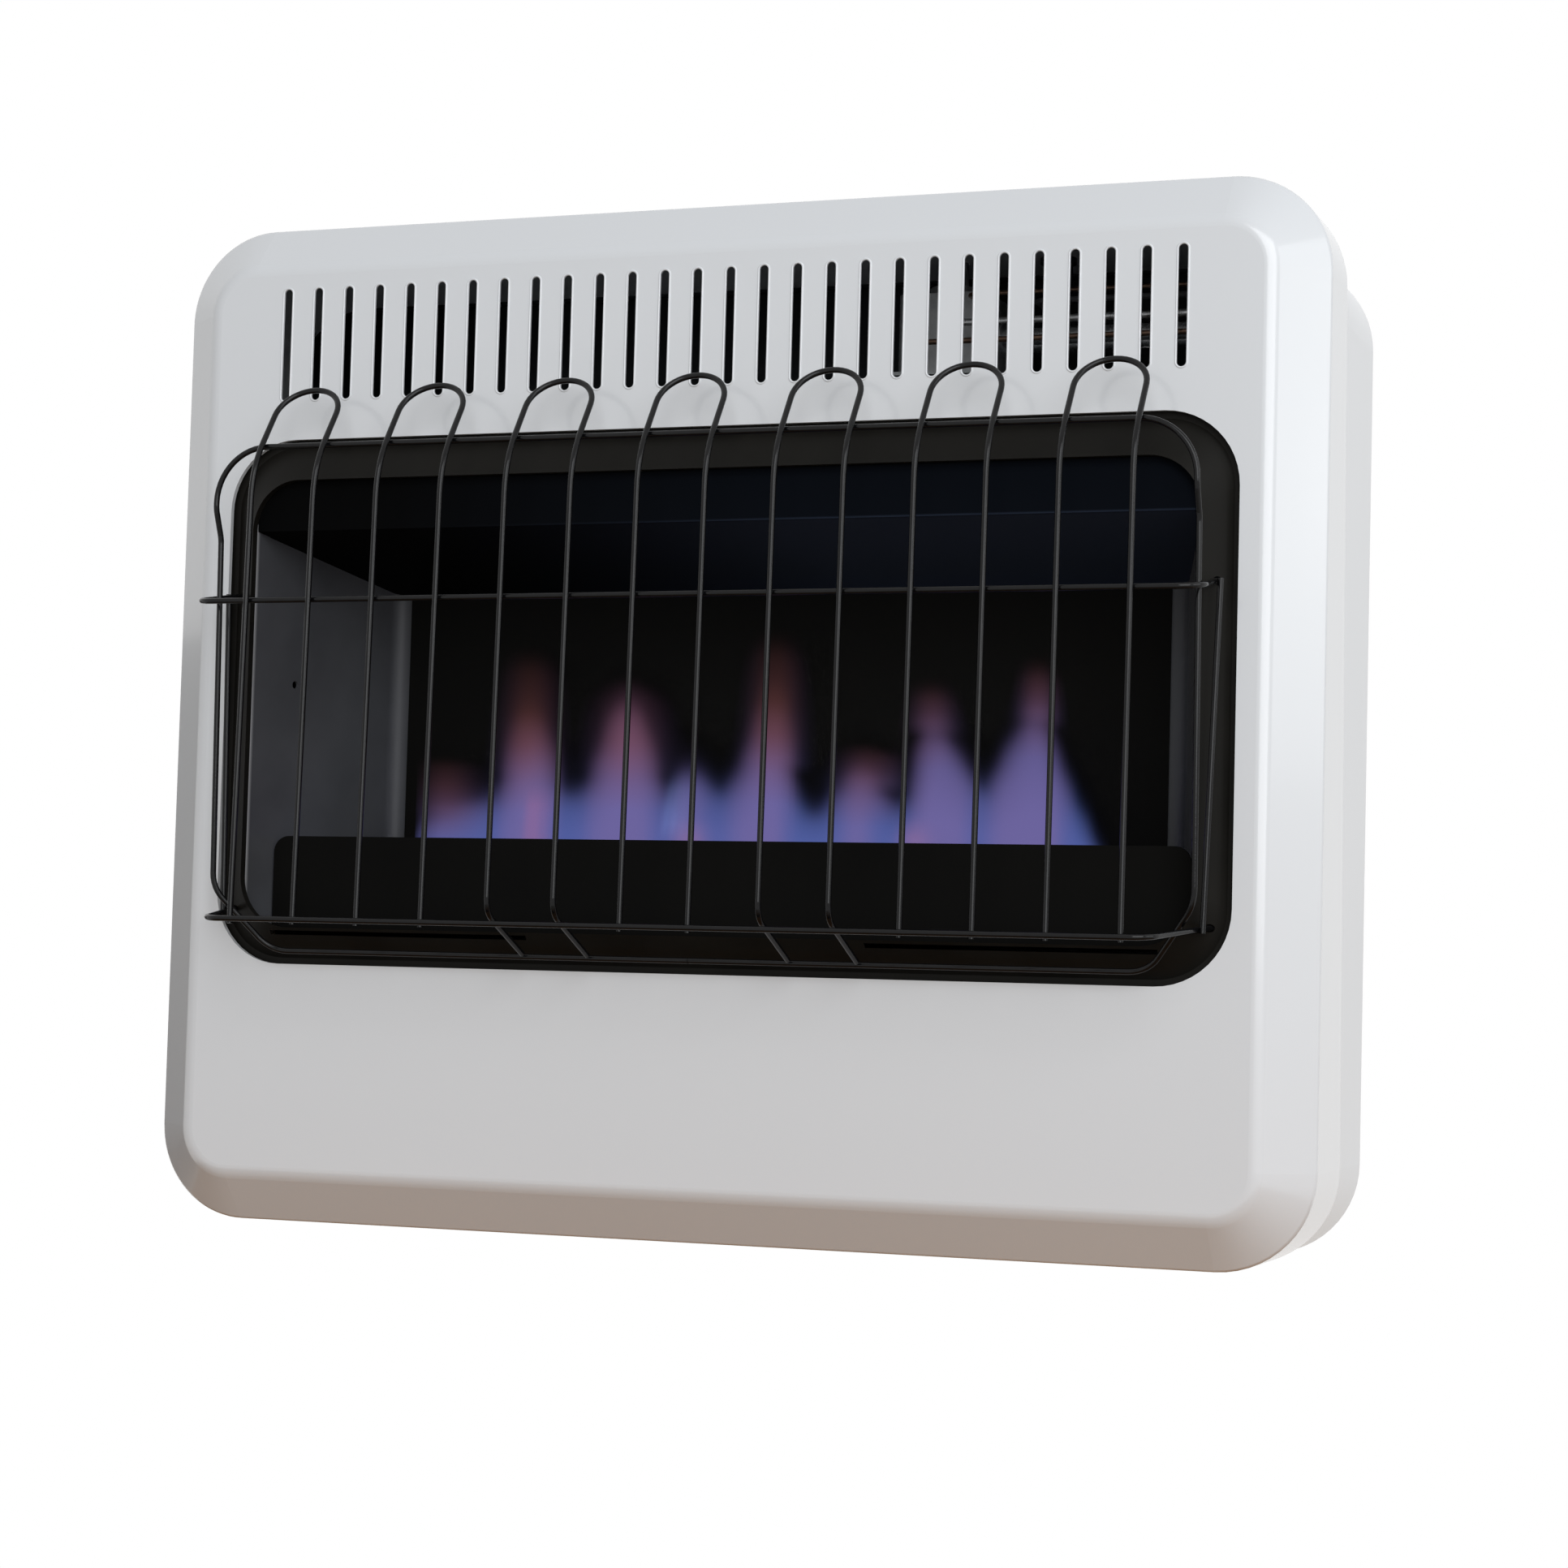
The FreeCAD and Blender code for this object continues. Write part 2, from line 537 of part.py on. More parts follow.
def guard_bar(z, inset, depth, hole_rise):
    """Path of a bar across the guard, its ends bent back into holes in the bezel."""
    half = OPEN_HALF_W - inset
    hole_z = z + hole_rise
    return [(-hole_x, leg_end, hole_z), (-half, depth, z), (half, depth, z), (hole_x, leg_end, hole_z)]


mid_path = guard_bar(mid_bar_z, MID_BAR_INSET, upright_depth(mid_bar_z) + weld, MID_HOLE_RISE)
lower_path = guard_bar(lower_bar_z, LOWER_BAR_INSET, upright_depth(lower_bar_z) - weld, LOWER_HOLE_RISE)
for path in (mid_path, lower_path):
    bezel = bezel.cut(bent_wire(path, WIRE_R + HOLE_CLEAR, BAR_BEND_R))
bezel_screw_places = []
for sx in (-1, 1):
    for z in (OPEN_TOP - BEZEL_SCREW_DROP, OPEN_BOTTOM + BEZEL_SCREW_RISE):
        bezel_screw_places.append((sx * (OPEN_HALF_W + BEZEL_FLANGE / 2), z))
for x, z in bezel_screw_places:
    bezel = bezel.cut(cyl(SCREW_HOLE_R, SHEET_T + 2 * PAST, x, BEZEL_DEPTH - PAST, z, BACK))
sill_slot_z = inner_bottom - SILL_SLOT_DROP
sill_slot_x = inner_x - SILL_SLOT_BORDER - SILL_SLOT_LENGTH / 2
for x in (-sill_slot_x, sill_slot_x):
    bezel = bezel.cut(box(x - SILL_SLOT_LENGTH / 2, x + SILL_SLOT_LENGTH / 2, throat, bezel_rear,
                          sill_slot_z - SILL_SLOT_W / 2, sill_slot_z + SILL_SLOT_W / 2))
save("firebox_bezel", bezel.removeSplitter())
save("guard_mid_bar", bent_wire(mid_path, WIRE_R, BAR_BEND_R))
save("guard_lower_bar", bent_wire(lower_path, WIRE_R, BAR_BEND_R))

half_frame = [(WELD_END / 2, -BOTTOM_RAIL_OUT, bottom_rail_z),
              (frame_half_w - FRAME_FOOT_INSET, -BOTTOM_RAIL_OUT, bottom_rail_z),
              (frame_half_w, FRAME_LEAN - FRAME_OUT, bottom_rail_z + FRAME_CORNER_R),
              (frame_half_w, -FRAME_OUT, rail_z - FRAME_CORNER_R - JOG_LENGTH),
              (frame_half_w, rail_depth, rail_z - FRAME_CORNER_R),
              (frame_half_w, rail_depth, rail_z)]
half_bends = [FRAME_CORNER_R * 0.6] * 2 + [JOG_LENGTH * 0.8] * 2 + [FRAME_CORNER_R * 0.9]
frame_path = half_frame + [(-x, d, z) for x, d, z in half_frame[::-1]]
save("guard_frame", bent_wire(frame_path, WIRE_R, half_bends + half_bends[::-1]))


def hairpin(index):
    """Two uprights joined by an arch that leans back over the top of the opening."""
    first = 2 * index
    middle = (first + 1 - HAIRPIN_COUNT) * upright_pitch
    ends = []
    bends = []
    for k, side in ((first, -1), (first + 1, 1)):
        x = middle + side * upright_pitch / 2
        bend = [HAIRPIN_BEND_R, upright_pitch / 2 - SEAT]
        if k in LONG_UPRIGHTS:
            tail_z = lower_bar_z + TAIL_RISE
            tail = [(x, -BOTTOM_RAIL_OUT - weld, bottom_rail_z + WIRE_R), (x, upright_depth(tail_z), tail_z)]
            bend = [HAIRPIN_TAIL_R] + bend
        else:
            foot_z = lower_bar_z - WIRE_R - HAIRPIN_FOOT
            tail = [(x, upright_depth(foot_z), foot_z)]
        ends.append(tail + [(x, -GUARD_OUT, hairpin_bend_z), (x, -HAIRPIN_STANDOFF, hairpin_top)])
        bends.append(bend)
    return bent_wire(ends[0] + ends[1][::-1], WIRE_R, bends[0] + bends[1][::-1])


save("guard_hairpins", *[hairpin(i) for i in range(HAIRPIN_COUNT)])


def along(path, share):
    """Point of the right-hand return leg of a bar, share of the way to its hole."""
    a, b = path[2], path[3]
    return [a[i] + (b[i] - a[i]) * share for i in range(3)]


stay_top = along(mid_path, STAY_SHARE)
stay_bottom = along(lower_path, STAY_SHARE)
stays = []
for side in (-1, 1):
    ends = []
    for (x, d, z), past in ((stay_top, WIRE_R), (stay_bottom, -WIRE_R)):
        ends.append((side * (x + weld), d, z + past))
    stays.append(bent_wire(ends, WIRE_R, []))
save("guard_side_stays", *stays)

# Firebox: splayed sides with a rounded bend into the back wall, sloping deflector, floor
side_front_depth = lip_rear + SEAT
splay_d = FIREBOX_BACK_DEPTH - side_front_depth
floor_z = inner_bottom
back_face = FIREBOX_BACK_DEPTH + SHEET_T


def side_at(depth):
    """Inner face of the firebox side, as a half width, at a depth."""
    return inner_x - FIREBOX_TAPER * (depth - side_front_depth) / splay_d


def plan_face(points, z):
    return Part.Face(Part.makePolygon([V(x, fy(d), z) for x, d in points + points[:1]]))


def firebox_side(side):
    """Side sheet: splayed wall and a flange behind the back wall, joined by a rounded bend."""
    t = SHEET_T
    slope = math.atan2(FIREBOX_TAPER, splay_d)
    nx, nd = math.cos(slope), math.sin(slope)
    front = (inner_x, side_front_depth)
    corner = (side_at(FIREBOX_BACK_DEPTH), FIREBOX_BACK_DEPTH)
    lap = (corner[0] - SIDE_LAP - SIDE_BEND_R, FIREBOX_BACK_DEPTH)
    outer_corner = (corner[0] + t * (1 + nd) / nx, FIREBOX_BACK_DEPTH + t)
    points = [front, corner, lap, (lap[0], lap[1] + t), outer_corner, (front[0] + t * nx, front[1] + t * nd)]
    height = inner_top - floor_z
    sheet = plan_face([(side * x, d) for x, d in points], floor_z).extrude(V(0, 0, height))
    bends = []
    for e in sheet.Edges:
        box_ = e.BoundBox
        if box_.ZLength > height - 1:
            for px, pd, r in ((corner[0], corner[1], SIDE_BEND_R), (outer_corner[0], outer_corner[1],
                                                                     SIDE_BEND_R + t)):
                if abs(box_.XMin - side * px) < 0.01 and abs(box_.YMin - fy(pd)) < 0.01:
                    bends.append((e, r))
    for e, r in bends:
        match = [c for c in sheet.Edges if c.BoundBox.ZLength > height - 1
                 and abs(c.BoundBox.XMin - e.BoundBox.XMin) < 0.01
                 and abs(c.BoundBox.YMin - e.BoundBox.YMin) < 0.01]
        sheet = sheet.makeFillet(r, match)
    return sheet


deflector_slope = DEFLECTOR_FALL / (FIREBOX_BACK_DEPTH - throat)
deflector_start = bezel_rear + DEFLECTOR_LEAD


def deflector_z(depth):
    return inner_top - DEFLECTOR_DROP - deflector_slope * (depth - throat)


def above_deflector(lift):
    """Everything above the deflector's underside, lifted square to it."""
    rise = lift / math.cos(math.atan(deflector_slope))
    d0, d1 = deflector_start - SEAT, DEPTH
    return prism([(d0, deflector_z(d0) + rise), (d1, deflector_z(d1) + rise), (d1, HALF_H), (d0, HALF_H)])


def trapezoid(depth0, depth1, spare, z0, z1):
    """Plan of the space between the firebox sides, less spare, as a block."""
    a, b = side_at(depth0) - spare, side_at(depth1) - spare
    return plan_face([(-a, depth0), (a, depth0), (b, depth1), (-b, depth1)], z0).extrude(V(0, 0, z1 - z0))


deflector_space = above_deflector(-SEAT)
left_side = firebox_side(-1).cut([deflector_space, bezel_space])
right_side = firebox_side(1).cut([deflector_space, bezel_space])
burner_z = floor_z + BURNER_RISE
burner_half = side_at(BURNER_DEPTH) - BURNER_END_ROOM
back_half_w = side_at(FIREBOX_BACK_DEPTH)
right_side = right_side.cut(cyl(BURNER_R + BURNER_HOLE_CLEAR, HALF_W, burner_half, BURNER_DEPTH, burner_z,
                                RIGHT))
pilot_depth = BURNER_DEPTH - BURNER_R - PILOT_FRONT
lead_low = floor_z + LEAD_LOW
right_side = right_side.cut(box(burner_half, HALF_W, pilot_depth - LEAD_WINDOW, pilot_depth + LEAD_WINDOW,
                                lead_low - LEAD_STEP - LEAD_WINDOW, lead_low + LEAD_STEP + LEAD_WINDOW))
left_side = left_side.cut(cyl(SCREW_HOLE_R, HALF_W - back_half_w, -HALF_W, throat + EYE_DEPTH,
                              floor_z + EYE_RISE, RIGHT))
save("firebox_side_left", left_side)
save("firebox_side_right", right_side)
back_x = back_half_w - SIDE_BEND_R
wall_rear = FIREBOX_BACK_DEPTH - SEAT
save("firebox_back", box(-back_x, back_x, wall_rear - SHEET_T, wall_rear, floor_z,
                         deflector_z(wall_rear) - SEAT))
deflector_x = inner_x + DEFLECTOR_LAP
hood_top = OPEN_TOP + BEZEL_FLANGE - HOOD_DROP
deflector = above_deflector(0).cut(above_deflector(SHEET_T))
deflector = deflector.common(box(-deflector_x, deflector_x, deflector_start,
                                 FIREBOX_BACK_DEPTH + DEFLECTOR_REACH, floor_z, HALF_H))
hood_rear = deflector_start + SHEET_T
deflector_hood = box(-deflector_x, deflector_x, deflector_start, hood_rear,
                     deflector_z(deflector_start), hood_top)
hood_strap = box(-deflector_x, deflector_x, bezel_rear, hood_rear, hood_top, hood_top + SHEET_T)


def visor_block(t, depth0, depth1):
    """Block of the hood's visor, which comes forward between the sides, smaller all round by t."""
    d0, d1 = depth0 + t, depth1
    top = inner_top - SEAT - t
    visor = prism([(d0, deflector_z(d0) + t), (d1, deflector_z(d1) + t), (d1, top), (d0, top)])
    return visor.common(trapezoid(d0, d1, SEAT, floor_z, HALF_H))


visor_front = side_front_depth + SEAT
visor = visor_block(0, visor_front, hood_rear).cut(bezel_space)
deflector = deflector.fuse([deflector_hood, hood_strap, visor])
save("heat_deflector", deflector.cut(visor_block(SHEET_T, visor_front, hood_rear + SEAT)).removeSplitter())
floor = trapezoid(side_front_depth, back_face, -FLOOR_LEDGE, floor_z - SHEET_T, floor_z)
save("firebox_floor", floor.cut(bezel_space))

# Shield: black plate in front of the burner, standing on the floor, its top edge folded back
shield_depth = throat + SHIELD_SETBACK
shield_top = floor_z + SHIELD_H
shield_half = side_at(shield_depth) - SHEET_T - SEAT
shield_fold = shield_half - SHIELD_CORNER
shield = rounded_block(-shield_half, shield_half, floor_z - SHIELD_CORNER, shield_top, SHIELD_CORNER,
                       shield_depth, shield_depth + SHEET_T)
shield = shield.cut(box(-HALF_W, HALF_W, 0, DEPTH, -HALF_H, floor_z))
for z in (floor_z, shield_top - SHEET_T):
    shield = shield.fuse(box(-shield_fold, shield_fold, shield_depth, shield_depth + SHIELD_LIP, z,
                             z + SHEET_T))
save("burner_shield", shield.removeSplitter())

# Burner: round tube with a row of ports on top, mixer end through the right-hand side
tube_run_x = CASING_HALF_W - TUBE_SIDE_ROOM
orifice_end = tube_run_x - ELBOW_ROOM
mixer_x = orifice_end - ORIFICE_LENGTH
burner_length = mixer_x + burner_half
burner = cyl(BURNER_R, burner_length, -burner_half, BURNER_DEPTH, burner_z, RIGHT)
burner = burner.cut(cyl(BURNER_R - BURNER_WALL, burner_length, -burner_half + BURNER_WALL, BURNER_DEPTH,
                        burner_z, RIGHT))
first_port = burner_half - PORT_BORDER
ports = []
for i in range(PORT_COUNT):
    x = -first_port + 2 * first_port * i / (PORT_COUNT - 1)
    ports.append(box(x - PORT_W / 2, x + PORT_W / 2, BURNER_DEPTH - PORT_LENGTH / 2,
                     BURNER_DEPTH + PORT_LENGTH / 2, burner_z, burner_z + BURNER_R + PAST))
burner = burner.cut(Part.makeCompound(ports))
window_x = mixer_x - MIXER_END
burner = burner.cut(box(window_x - MIXER_WINDOW, window_x, BURNER_DEPTH - BURNER_R - PAST,
                        BURNER_DEPTH + BURNER_R + PAST, burner_z - BURNER_R / 2, burner_z + BURNER_R / 2))
save("burner_tube", burner)
saddle_half_d = BURNER_R + SADDLE_WALL
saddles = []
for x in (-burner_half * 0.8, burner_half * 0.8):
    post = box(x - SADDLE_W / 2, x + SADDLE_W / 2, BURNER_DEPTH - saddle_half_d, BURNER_DEPTH + saddle_half_d,
               floor_z, burner_z - SADDLE_DROP)
    saddles.append(post.cut(cyl(BURNER_R + SADDLE_FIT, SADDLE_W + 2 * PAST, x - SADDLE_W / 2 - PAST,
                                BURNER_DEPTH, burner_z, RIGHT)))
save("burner_brackets", *saddles)

# Orifice fitting: brass plug in the mixer's end, at the gas tube's elbow
orifice = cyl(BURNER_R - BURNER_WALL, ORIFICE_PLUG, mixer_x - ORIFICE_PLUG, BURNER_DEPTH, burner_z, RIGHT)
orifice = orifice.fuse(cyl(ORIFICE_R, ORIFICE_LENGTH, mixer_x, BURNER_DEPTH, burner_z, RIGHT))
bore_length = ORIFICE_PLUG + ORIFICE_LENGTH + 2 * PAST
orifice = orifice.cut(cyl(ORIFICE_BORE_R, bore_length, mixer_x - ORIFICE_PLUG - PAST, BURNER_DEPTH, burner_z,
                          RIGHT))
save("orifice_fitting", orifice.removeSplitter())

# Pilot: bracket on the floor with the pilot burner, spark electrode and thermocouple
pilot_x = side_at(pilot_depth) - PILOT_SIDE_ROOM
pilot_plate_z = burner_z + BURNER_R - PILOT_DROP
plate_x0 = pilot_x - PILOT_LEFT
plate_x1 = pilot_x + PILOT_RIGHT
pilot_front = pilot_depth - PILOT_HALF_D
pilot_rear = pilot_depth + PILOT_HALF_D
plate_top = pilot_plate_z + PILOT_T
pilot_bracket = box(plate_x0, plate_x1, pilot_front, pilot_rear, pilot_plate_z, plate_top)
pilot_bracket = pilot_bracket.fuse([
    box(plate_x0, plate_x0 + PILOT_T, pilot_front, pilot_rear, floor_z, plate_top),
    box(plate_x0, plate_x0 + PILOT_FOOT, pilot_front, pilot_rear, floor_z, floor_z + PILOT_T)])
pilot_bracket = pilot_bracket.removeSplitter()
pilot_items = {"spark_electrode": (pilot_x - PILOT_SPREAD, ELECTRODE_R),
               "pilot_burner": (pilot_x, PILOT_BURNER_R),
               "thermocouple": (pilot_x + PILOT_SPREAD, THERMOCOUPLE_R)}
item_foot = pilot_plate_z - PILOT_BELOW
item_top = pilot_plate_z + PILOT_ABOVE
for name, (x, radius) in pilot_items.items():
    item = cyl(radius, item_top - item_foot, x, pilot_depth, item_foot, UP)
    item = item.fuse(cyl(radius + PILOT_COLLAR, PILOT_COLLAR_H, x, pilot_depth, plate_top, UP))
    pilot_bracket = pilot_bracket.cut(cyl(radius, PILOT_T + 2 * PAST, x, pilot_depth, pilot_plate_z - PAST,
                                          UP))
    if name == "pilot_burner":
        item = item.cut(cyl(PILOT_JET_R, radius + PAST, x, pilot_depth, item_top - PILOT_JET_DROP, BACK))
    if name == "spark_electrode":
        item = item.fuse(cyl(SPARK_PIN_R, SPARK_PIN_LENGTH, x, pilot_depth, item_top, UP))
    save(name, item.removeSplitter())
save("pilot_bracket", pilot_bracket)

# Firebox brackets: four sheet straps from the bezel's flange back to the back panel
strap_x = OPEN_HALF_W + BEZEL_FLANGE - STRAP_INSET
straps = []
bezel_screws = []
for x, z in bezel_screw_places:
    z0 = z - STRAP_W / 2
    z1 = z + STRAP_W / 2
    run = box(strap_x - SHEET_T, strap_x, bezel_rear, panel_face, z0, z1)
    toe = box(abs(x) - STRAP_TOE, strap_x, bezel_rear, bezel_rear + SHEET_T, z0, z1)
    heel = box(strap_x - STRAP_HEEL, strap_x, panel_face - SHEET_T, panel_face, z0, z1)
    strap = run.fuse([toe, heel]).removeSplitter()
    if x < 0:
        strap = strap.mirror(V(0, 0, 0), RIGHT)
    straps.append(strap.cut(cyl(SCREW_HOLE_R, SHEET_T + 2 * PAST, x, bezel_rear - PAST, z, BACK)))
    bezel_screws.append(pan_screw(x, BEZEL_DEPTH, z, BACK))
save("firebox_brackets", *straps)
save("bezel_screws", *bezel_screws)

# Upper baffle: keeps the burner's heat off the gas control
baffle_z = OPEN_TOP + BEZEL_FLANGE + BAFFLE_RISE
baffle = box(-strap_x, strap_x, BAFFLE_FRONT, panel_face, baffle_z, baffle_z + SHEET_T)
baffle = baffle.fuse([
    box(-strap_x, strap_x, panel_face - SHEET_T, panel_face, baffle_z - BAFFLE_FOOT, baffle_z),
    box(-strap_x, strap_x, BAFFLE_FRONT, BAFFLE_FRONT + SHEET_T, baffle_z - BAFFLE_LIP, baffle_z)])
save("upper_baffle", baffle.removeSplitter())

# Gas control: valve on an angle bracket from the back panel, spindle through the casing's top
valve_x0 = CONTROL_X - VALVE_W / 2
valve_x1 = CONTROL_X + VALVE_W / 2
valve_face = CONTROL_DEPTH - VALVE_D / 2
valve_base = baffle_z + VALVE_LIFT
valve_top = valve_base + VALVE_H
bracket_x0 = valve_x0 - BRACKET_BORDER
bracket_x1 = valve_x1 + BRACKET_BORDER
control_bracket = box(bracket_x0, bracket_x1, valve_face - BRACKET_LEAD, panel_face, valve_base - PLATE_T,
                      valve_base)
control_bracket = control_bracket.fuse(box(bracket_x0, bracket_x1, panel_face - PLATE_T, panel_face,
                                           valve_base, valve_base + BRACKET_RISE))
save("control_bracket", control_bracket.removeSplitter())
valve = box(valve_x0, valve_x1, valve_face, valve_face + VALVE_D, valve_base, valve_top)
valve = valve.makeFillet(VALVE_CORNER_R, [e for e in valve.Edges if e.BoundBox.ZLength > VALVE_H / 2])
valve = valve.fuse([
    cyl(collar_r + COLLAR_STEP, COLLAR_STEP_H, CONTROL_X, CONTROL_DEPTH, valve_top, UP),
    cyl(collar_r, CASING_TOP - COLLAR_TOP - valve_top, CONTROL_X, CONTROL_DEPTH, valve_top, UP)])
boss_z = valve_base + BOSS_RISE
supply_depth = CONTROL_DEPTH + SUPPLY_BACK
burner_out_depth = CONTROL_DEPTH - OUTLET_FRONT
for depth in (supply_depth, burner_out_depth):
    valve = valve.fuse(cyl(TUBE_R + BOSS_WALL, BOSS_LENGTH, valve_x1 - BOSS_ROOT, depth, boss_z, RIGHT))
spindle_foot = valve_top - SPINDLE_DEEP
bore_foot = spindle_foot - KNOB_PUSH - SPINDLE_ROOM
bore_r = SPINDLE_R + SPINDLE_FIT
valve = valve.cut(cyl(bore_r, HALF_H, CONTROL_X, CONTROL_DEPTH, bore_foot, UP))
save("gas_valve", valve.removeSplitter())
boss_end = valve_x1 - BOSS_ROOT + BOSS_LENGTH

# Control knob on the spindle: it lifts clear of the casing by its push and turns
knob_base = CASING_TOP + KNOB_PUSH + KNOB_CLEAR
knob_top = knob_base + KNOB_H
spindle_top = knob_top - KNOB_TOP_T
save("valve_spindle", cyl(SPINDLE_R, spindle_top - spindle_foot, CONTROL_X, CONTROL_DEPTH, spindle_foot, UP))
knob = cyl(KNOB_R, KNOB_H, CONTROL_X, CONTROL_DEPTH, knob_base, UP)
knob = knob.makeFillet(KNOB_EDGE_R, [e for e in knob.Edges if isinstance(e.Curve, Part.Circle)
                                     and e.BoundBox.ZMin > knob_base + KNOB_H / 2])
flutes = []
for i in range(FLUTE_COUNT):
    turn = 2 * math.pi * i / FLUTE_COUNT
    out = KNOB_R + FLUTE_OUT
    flutes.append(cyl(FLUTE_R, KNOB_H, CONTROL_X + out * math.cos(turn), CONTROL_DEPTH + out * math.sin(turn),
                      knob_base + FLUTE_RISE, UP))
knob = knob.cut(Part.makeCompound(flutes))
knob = knob.cut(box(CONTROL_X - POINTER_W / 2, CONTROL_X + POINTER_W / 2,
                    CONTROL_DEPTH - KNOB_R + POINTER_BORDER, CONTROL_DEPTH - POINTER_INNER,
                    knob_top - POINTER_DEEP, knob_top + PAST))
knob = knob.cut(cyl(bore_r, spindle_top - knob_base + SEAT, CONTROL_X, CONTROL_DEPTH, knob_base, UP))
save("control_knob", knob)

# Spark igniter: body hung in the casing's top by its rim and a nut below, with a push button
rim_top_z = CASING_TOP + IGNITER_RIM_H
igniter_foot = CASING_TOP - IGNITER_LENGTH
button_foot = rim_top_z - BUTTON_DEEP
igniter = cyl(IGNITER_R, rim_top_z - igniter_foot, igniter_x, CONTROL_DEPTH, igniter_foot, UP)
igniter = igniter.fuse([
    cyl(IGNITER_R + IGNITER_RIM, IGNITER_RIM_H, igniter_x, CONTROL_DEPTH, CASING_TOP, UP),
    cyl(IGNITER_R + IGNITER_RIM, IGNITER_NUT_H, igniter_x, CONTROL_DEPTH, inside_top - IGNITER_NUT_H, UP)])
igniter = igniter.cut(cyl(BUTTON_R + BUTTON_FIT, BUTTON_DEEP + BUTTON_TRAVEL + BUTTON_ROOM + PAST, igniter_x,
                          CONTROL_DEPTH, button_foot - BUTTON_TRAVEL - BUTTON_ROOM, UP))
save("igniter_body", igniter.removeSplitter())
button = cyl(BUTTON_R, BUTTON_DEEP + BUTTON_PROUD, igniter_x, CONTROL_DEPTH, button_foot, UP)
button = button.makeFillet(BUTTON_EDGE_R, [e for e in button.Edges if e.BoundBox.ZMin > rim_top_z
                                           and isinstance(e.Curve, Part.Circle)])
save("igniter_button", button)

# Pressure regulator standing on the casing's bottom, with a threaded gas inlet facing down
half_reg = REGULATOR_SIZE / 2
regulator_top = REGULATOR_H - inside_z
regulator = box(regulator_x - half_reg, regulator_x + half_reg, REGULATOR_DEPTH - half_reg,
                REGULATOR_DEPTH + half_reg, -inside_z, regulator_top)
regulator = regulator.makeFillet(REGULATOR_CORNER_R, [e for e in regulator.Edges
                                                      if e.BoundBox.ZLength > REGULATOR_H / 2])
regulator = regulator.fuse(cyl(CAP_R, CAP_H, regulator_x - half_reg - CAP_H, REGULATOR_DEPTH,
                               (regulator_top - inside_z) / 2, RIGHT))
regulator = regulator.cut(cyl(INLET_R, INLET_LENGTH, regulator_x, REGULATOR_DEPTH, -inside_z, UP))
save("pressure_regulator", regulator.removeSplitter())

# Gas tubes: regulator to valve, and valve to the burner's orifice, down the right-hand side
sweep_z = regulator_top + SUPPLY_RISE
supply_path = [(regulator_x, supply_depth, regulator_top), (regulator_x, supply_depth, sweep_z),
               (tube_run_x, supply_depth, sweep_z + SUPPLY_SWEEP), (tube_run_x, supply_depth, boss_z),
               (boss_end, supply_depth, boss_z)]
save("supply_tube", bent_wire(supply_path, TUBE_R, TUBE_BEND_R))
burner_path = [(boss_end, burner_out_depth, boss_z), (tube_run_x, burner_out_depth, boss_z),
               (tube_run_x, BURNER_DEPTH, burner_z), (orifice_end, BURNER_DEPTH, burner_z)]
save("burner_gas_tube", bent_wire(burner_path, TUBE_R, ELBOW_R))

# Pilot tube, thermocouple lead and spark lead: out through the right-hand side, up and across to the control
lead_runs = {"thermocouple_lead": ("thermocouple", LEAD_R, CONTROL_X - LEAD_SPREAD),
             "pilot_gas_tube": ("pilot_burner", PILOT_TUBE_R, CONTROL_X + LEAD_SPREAD),
             "igniter_lead": ("spark_electrode", LEAD_R, igniter_x)}
for order, (name, (item, radius, end_x)) in enumerate(lead_runs.items()):
    start_x = pilot_items[item][0]
    low = lead_low + (1 - order) * LEAD_STEP
    rise_x = strap_x + LEAD_SIDE_ROOM + order * LEAD_RUN_STEP
    high = valve_base + LEAD_HIGH + order * LEAD_RISE
    path = [(start_x, pilot_depth, item_foot), (start_x, pilot_depth, low),
            (rise_x, pilot_depth, low), (rise_x, pilot_depth, high), (end_x, pilot_depth, high)]
    if name == "igniter_lead":
        path += [(end_x, CONTROL_DEPTH, high), (end_x, CONTROL_DEPTH, igniter_foot)]
    else:
        path += [(end_x, valve_face, high)]
    save(name, bent_wire(path, radius, LEAD_BEND_R))

# Thermostat bulb in two clips on the casing's bottom, with its capillary up to the valve
bulb_z = CLIP_H - inside_z
bulb_end = BULB_X + BULB_LENGTH
bulb = cyl(BULB_R, BULB_LENGTH, BULB_X, BULB_DEPTH, bulb_z, RIGHT)
capillary_x = CASING_HALF_W - CAPILLARY_SIDE_ROOM
capillary_high = valve_top - CAPILLARY_DROP
capillary_end = CONTROL_X + CAPILLARY_STEP
capillary = bent_wire([(bulb_end, BULB_DEPTH, bulb_z), (bulb_end + CAPILLARY_LEAD, BULB_DEPTH, bulb_z),
                       (capillary_x, BULB_DEPTH, bulb_z + CAPILLARY_SWEEP),
                       (capillary_x, BULB_DEPTH, capillary_high), (capillary_end, BULB_DEPTH, capillary_high),
                       (capillary_end, valve_face, capillary_high)], CAPILLARY_R, LEAD_BEND_R)
save("thermostat_bulb", bulb.fuse(capillary).removeSplitter())
clip_half_d = BULB_R + CLIP_WALL
clips = []
for x in (BULB_X + CLIP_INSET, bulb_end - CLIP_INSET - CLIP_W):
    clip = box(x, x + CLIP_W, BULB_DEPTH - clip_half_d, BULB_DEPTH + clip_half_d, -inside_z,
               bulb_z + CLIP_GRIP)
    clips.append(clip.cut(cyl(BULB_R + CLIP_FIT, CLIP_W + 2 * PAST, x - PAST, BULB_DEPTH, bulb_z, RIGHT)))
save("bulb_clips", *clips)

print("nodes written:", len(os.listdir("parts")))
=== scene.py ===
import math
import bpy
from mathutils import Matrix, Vector


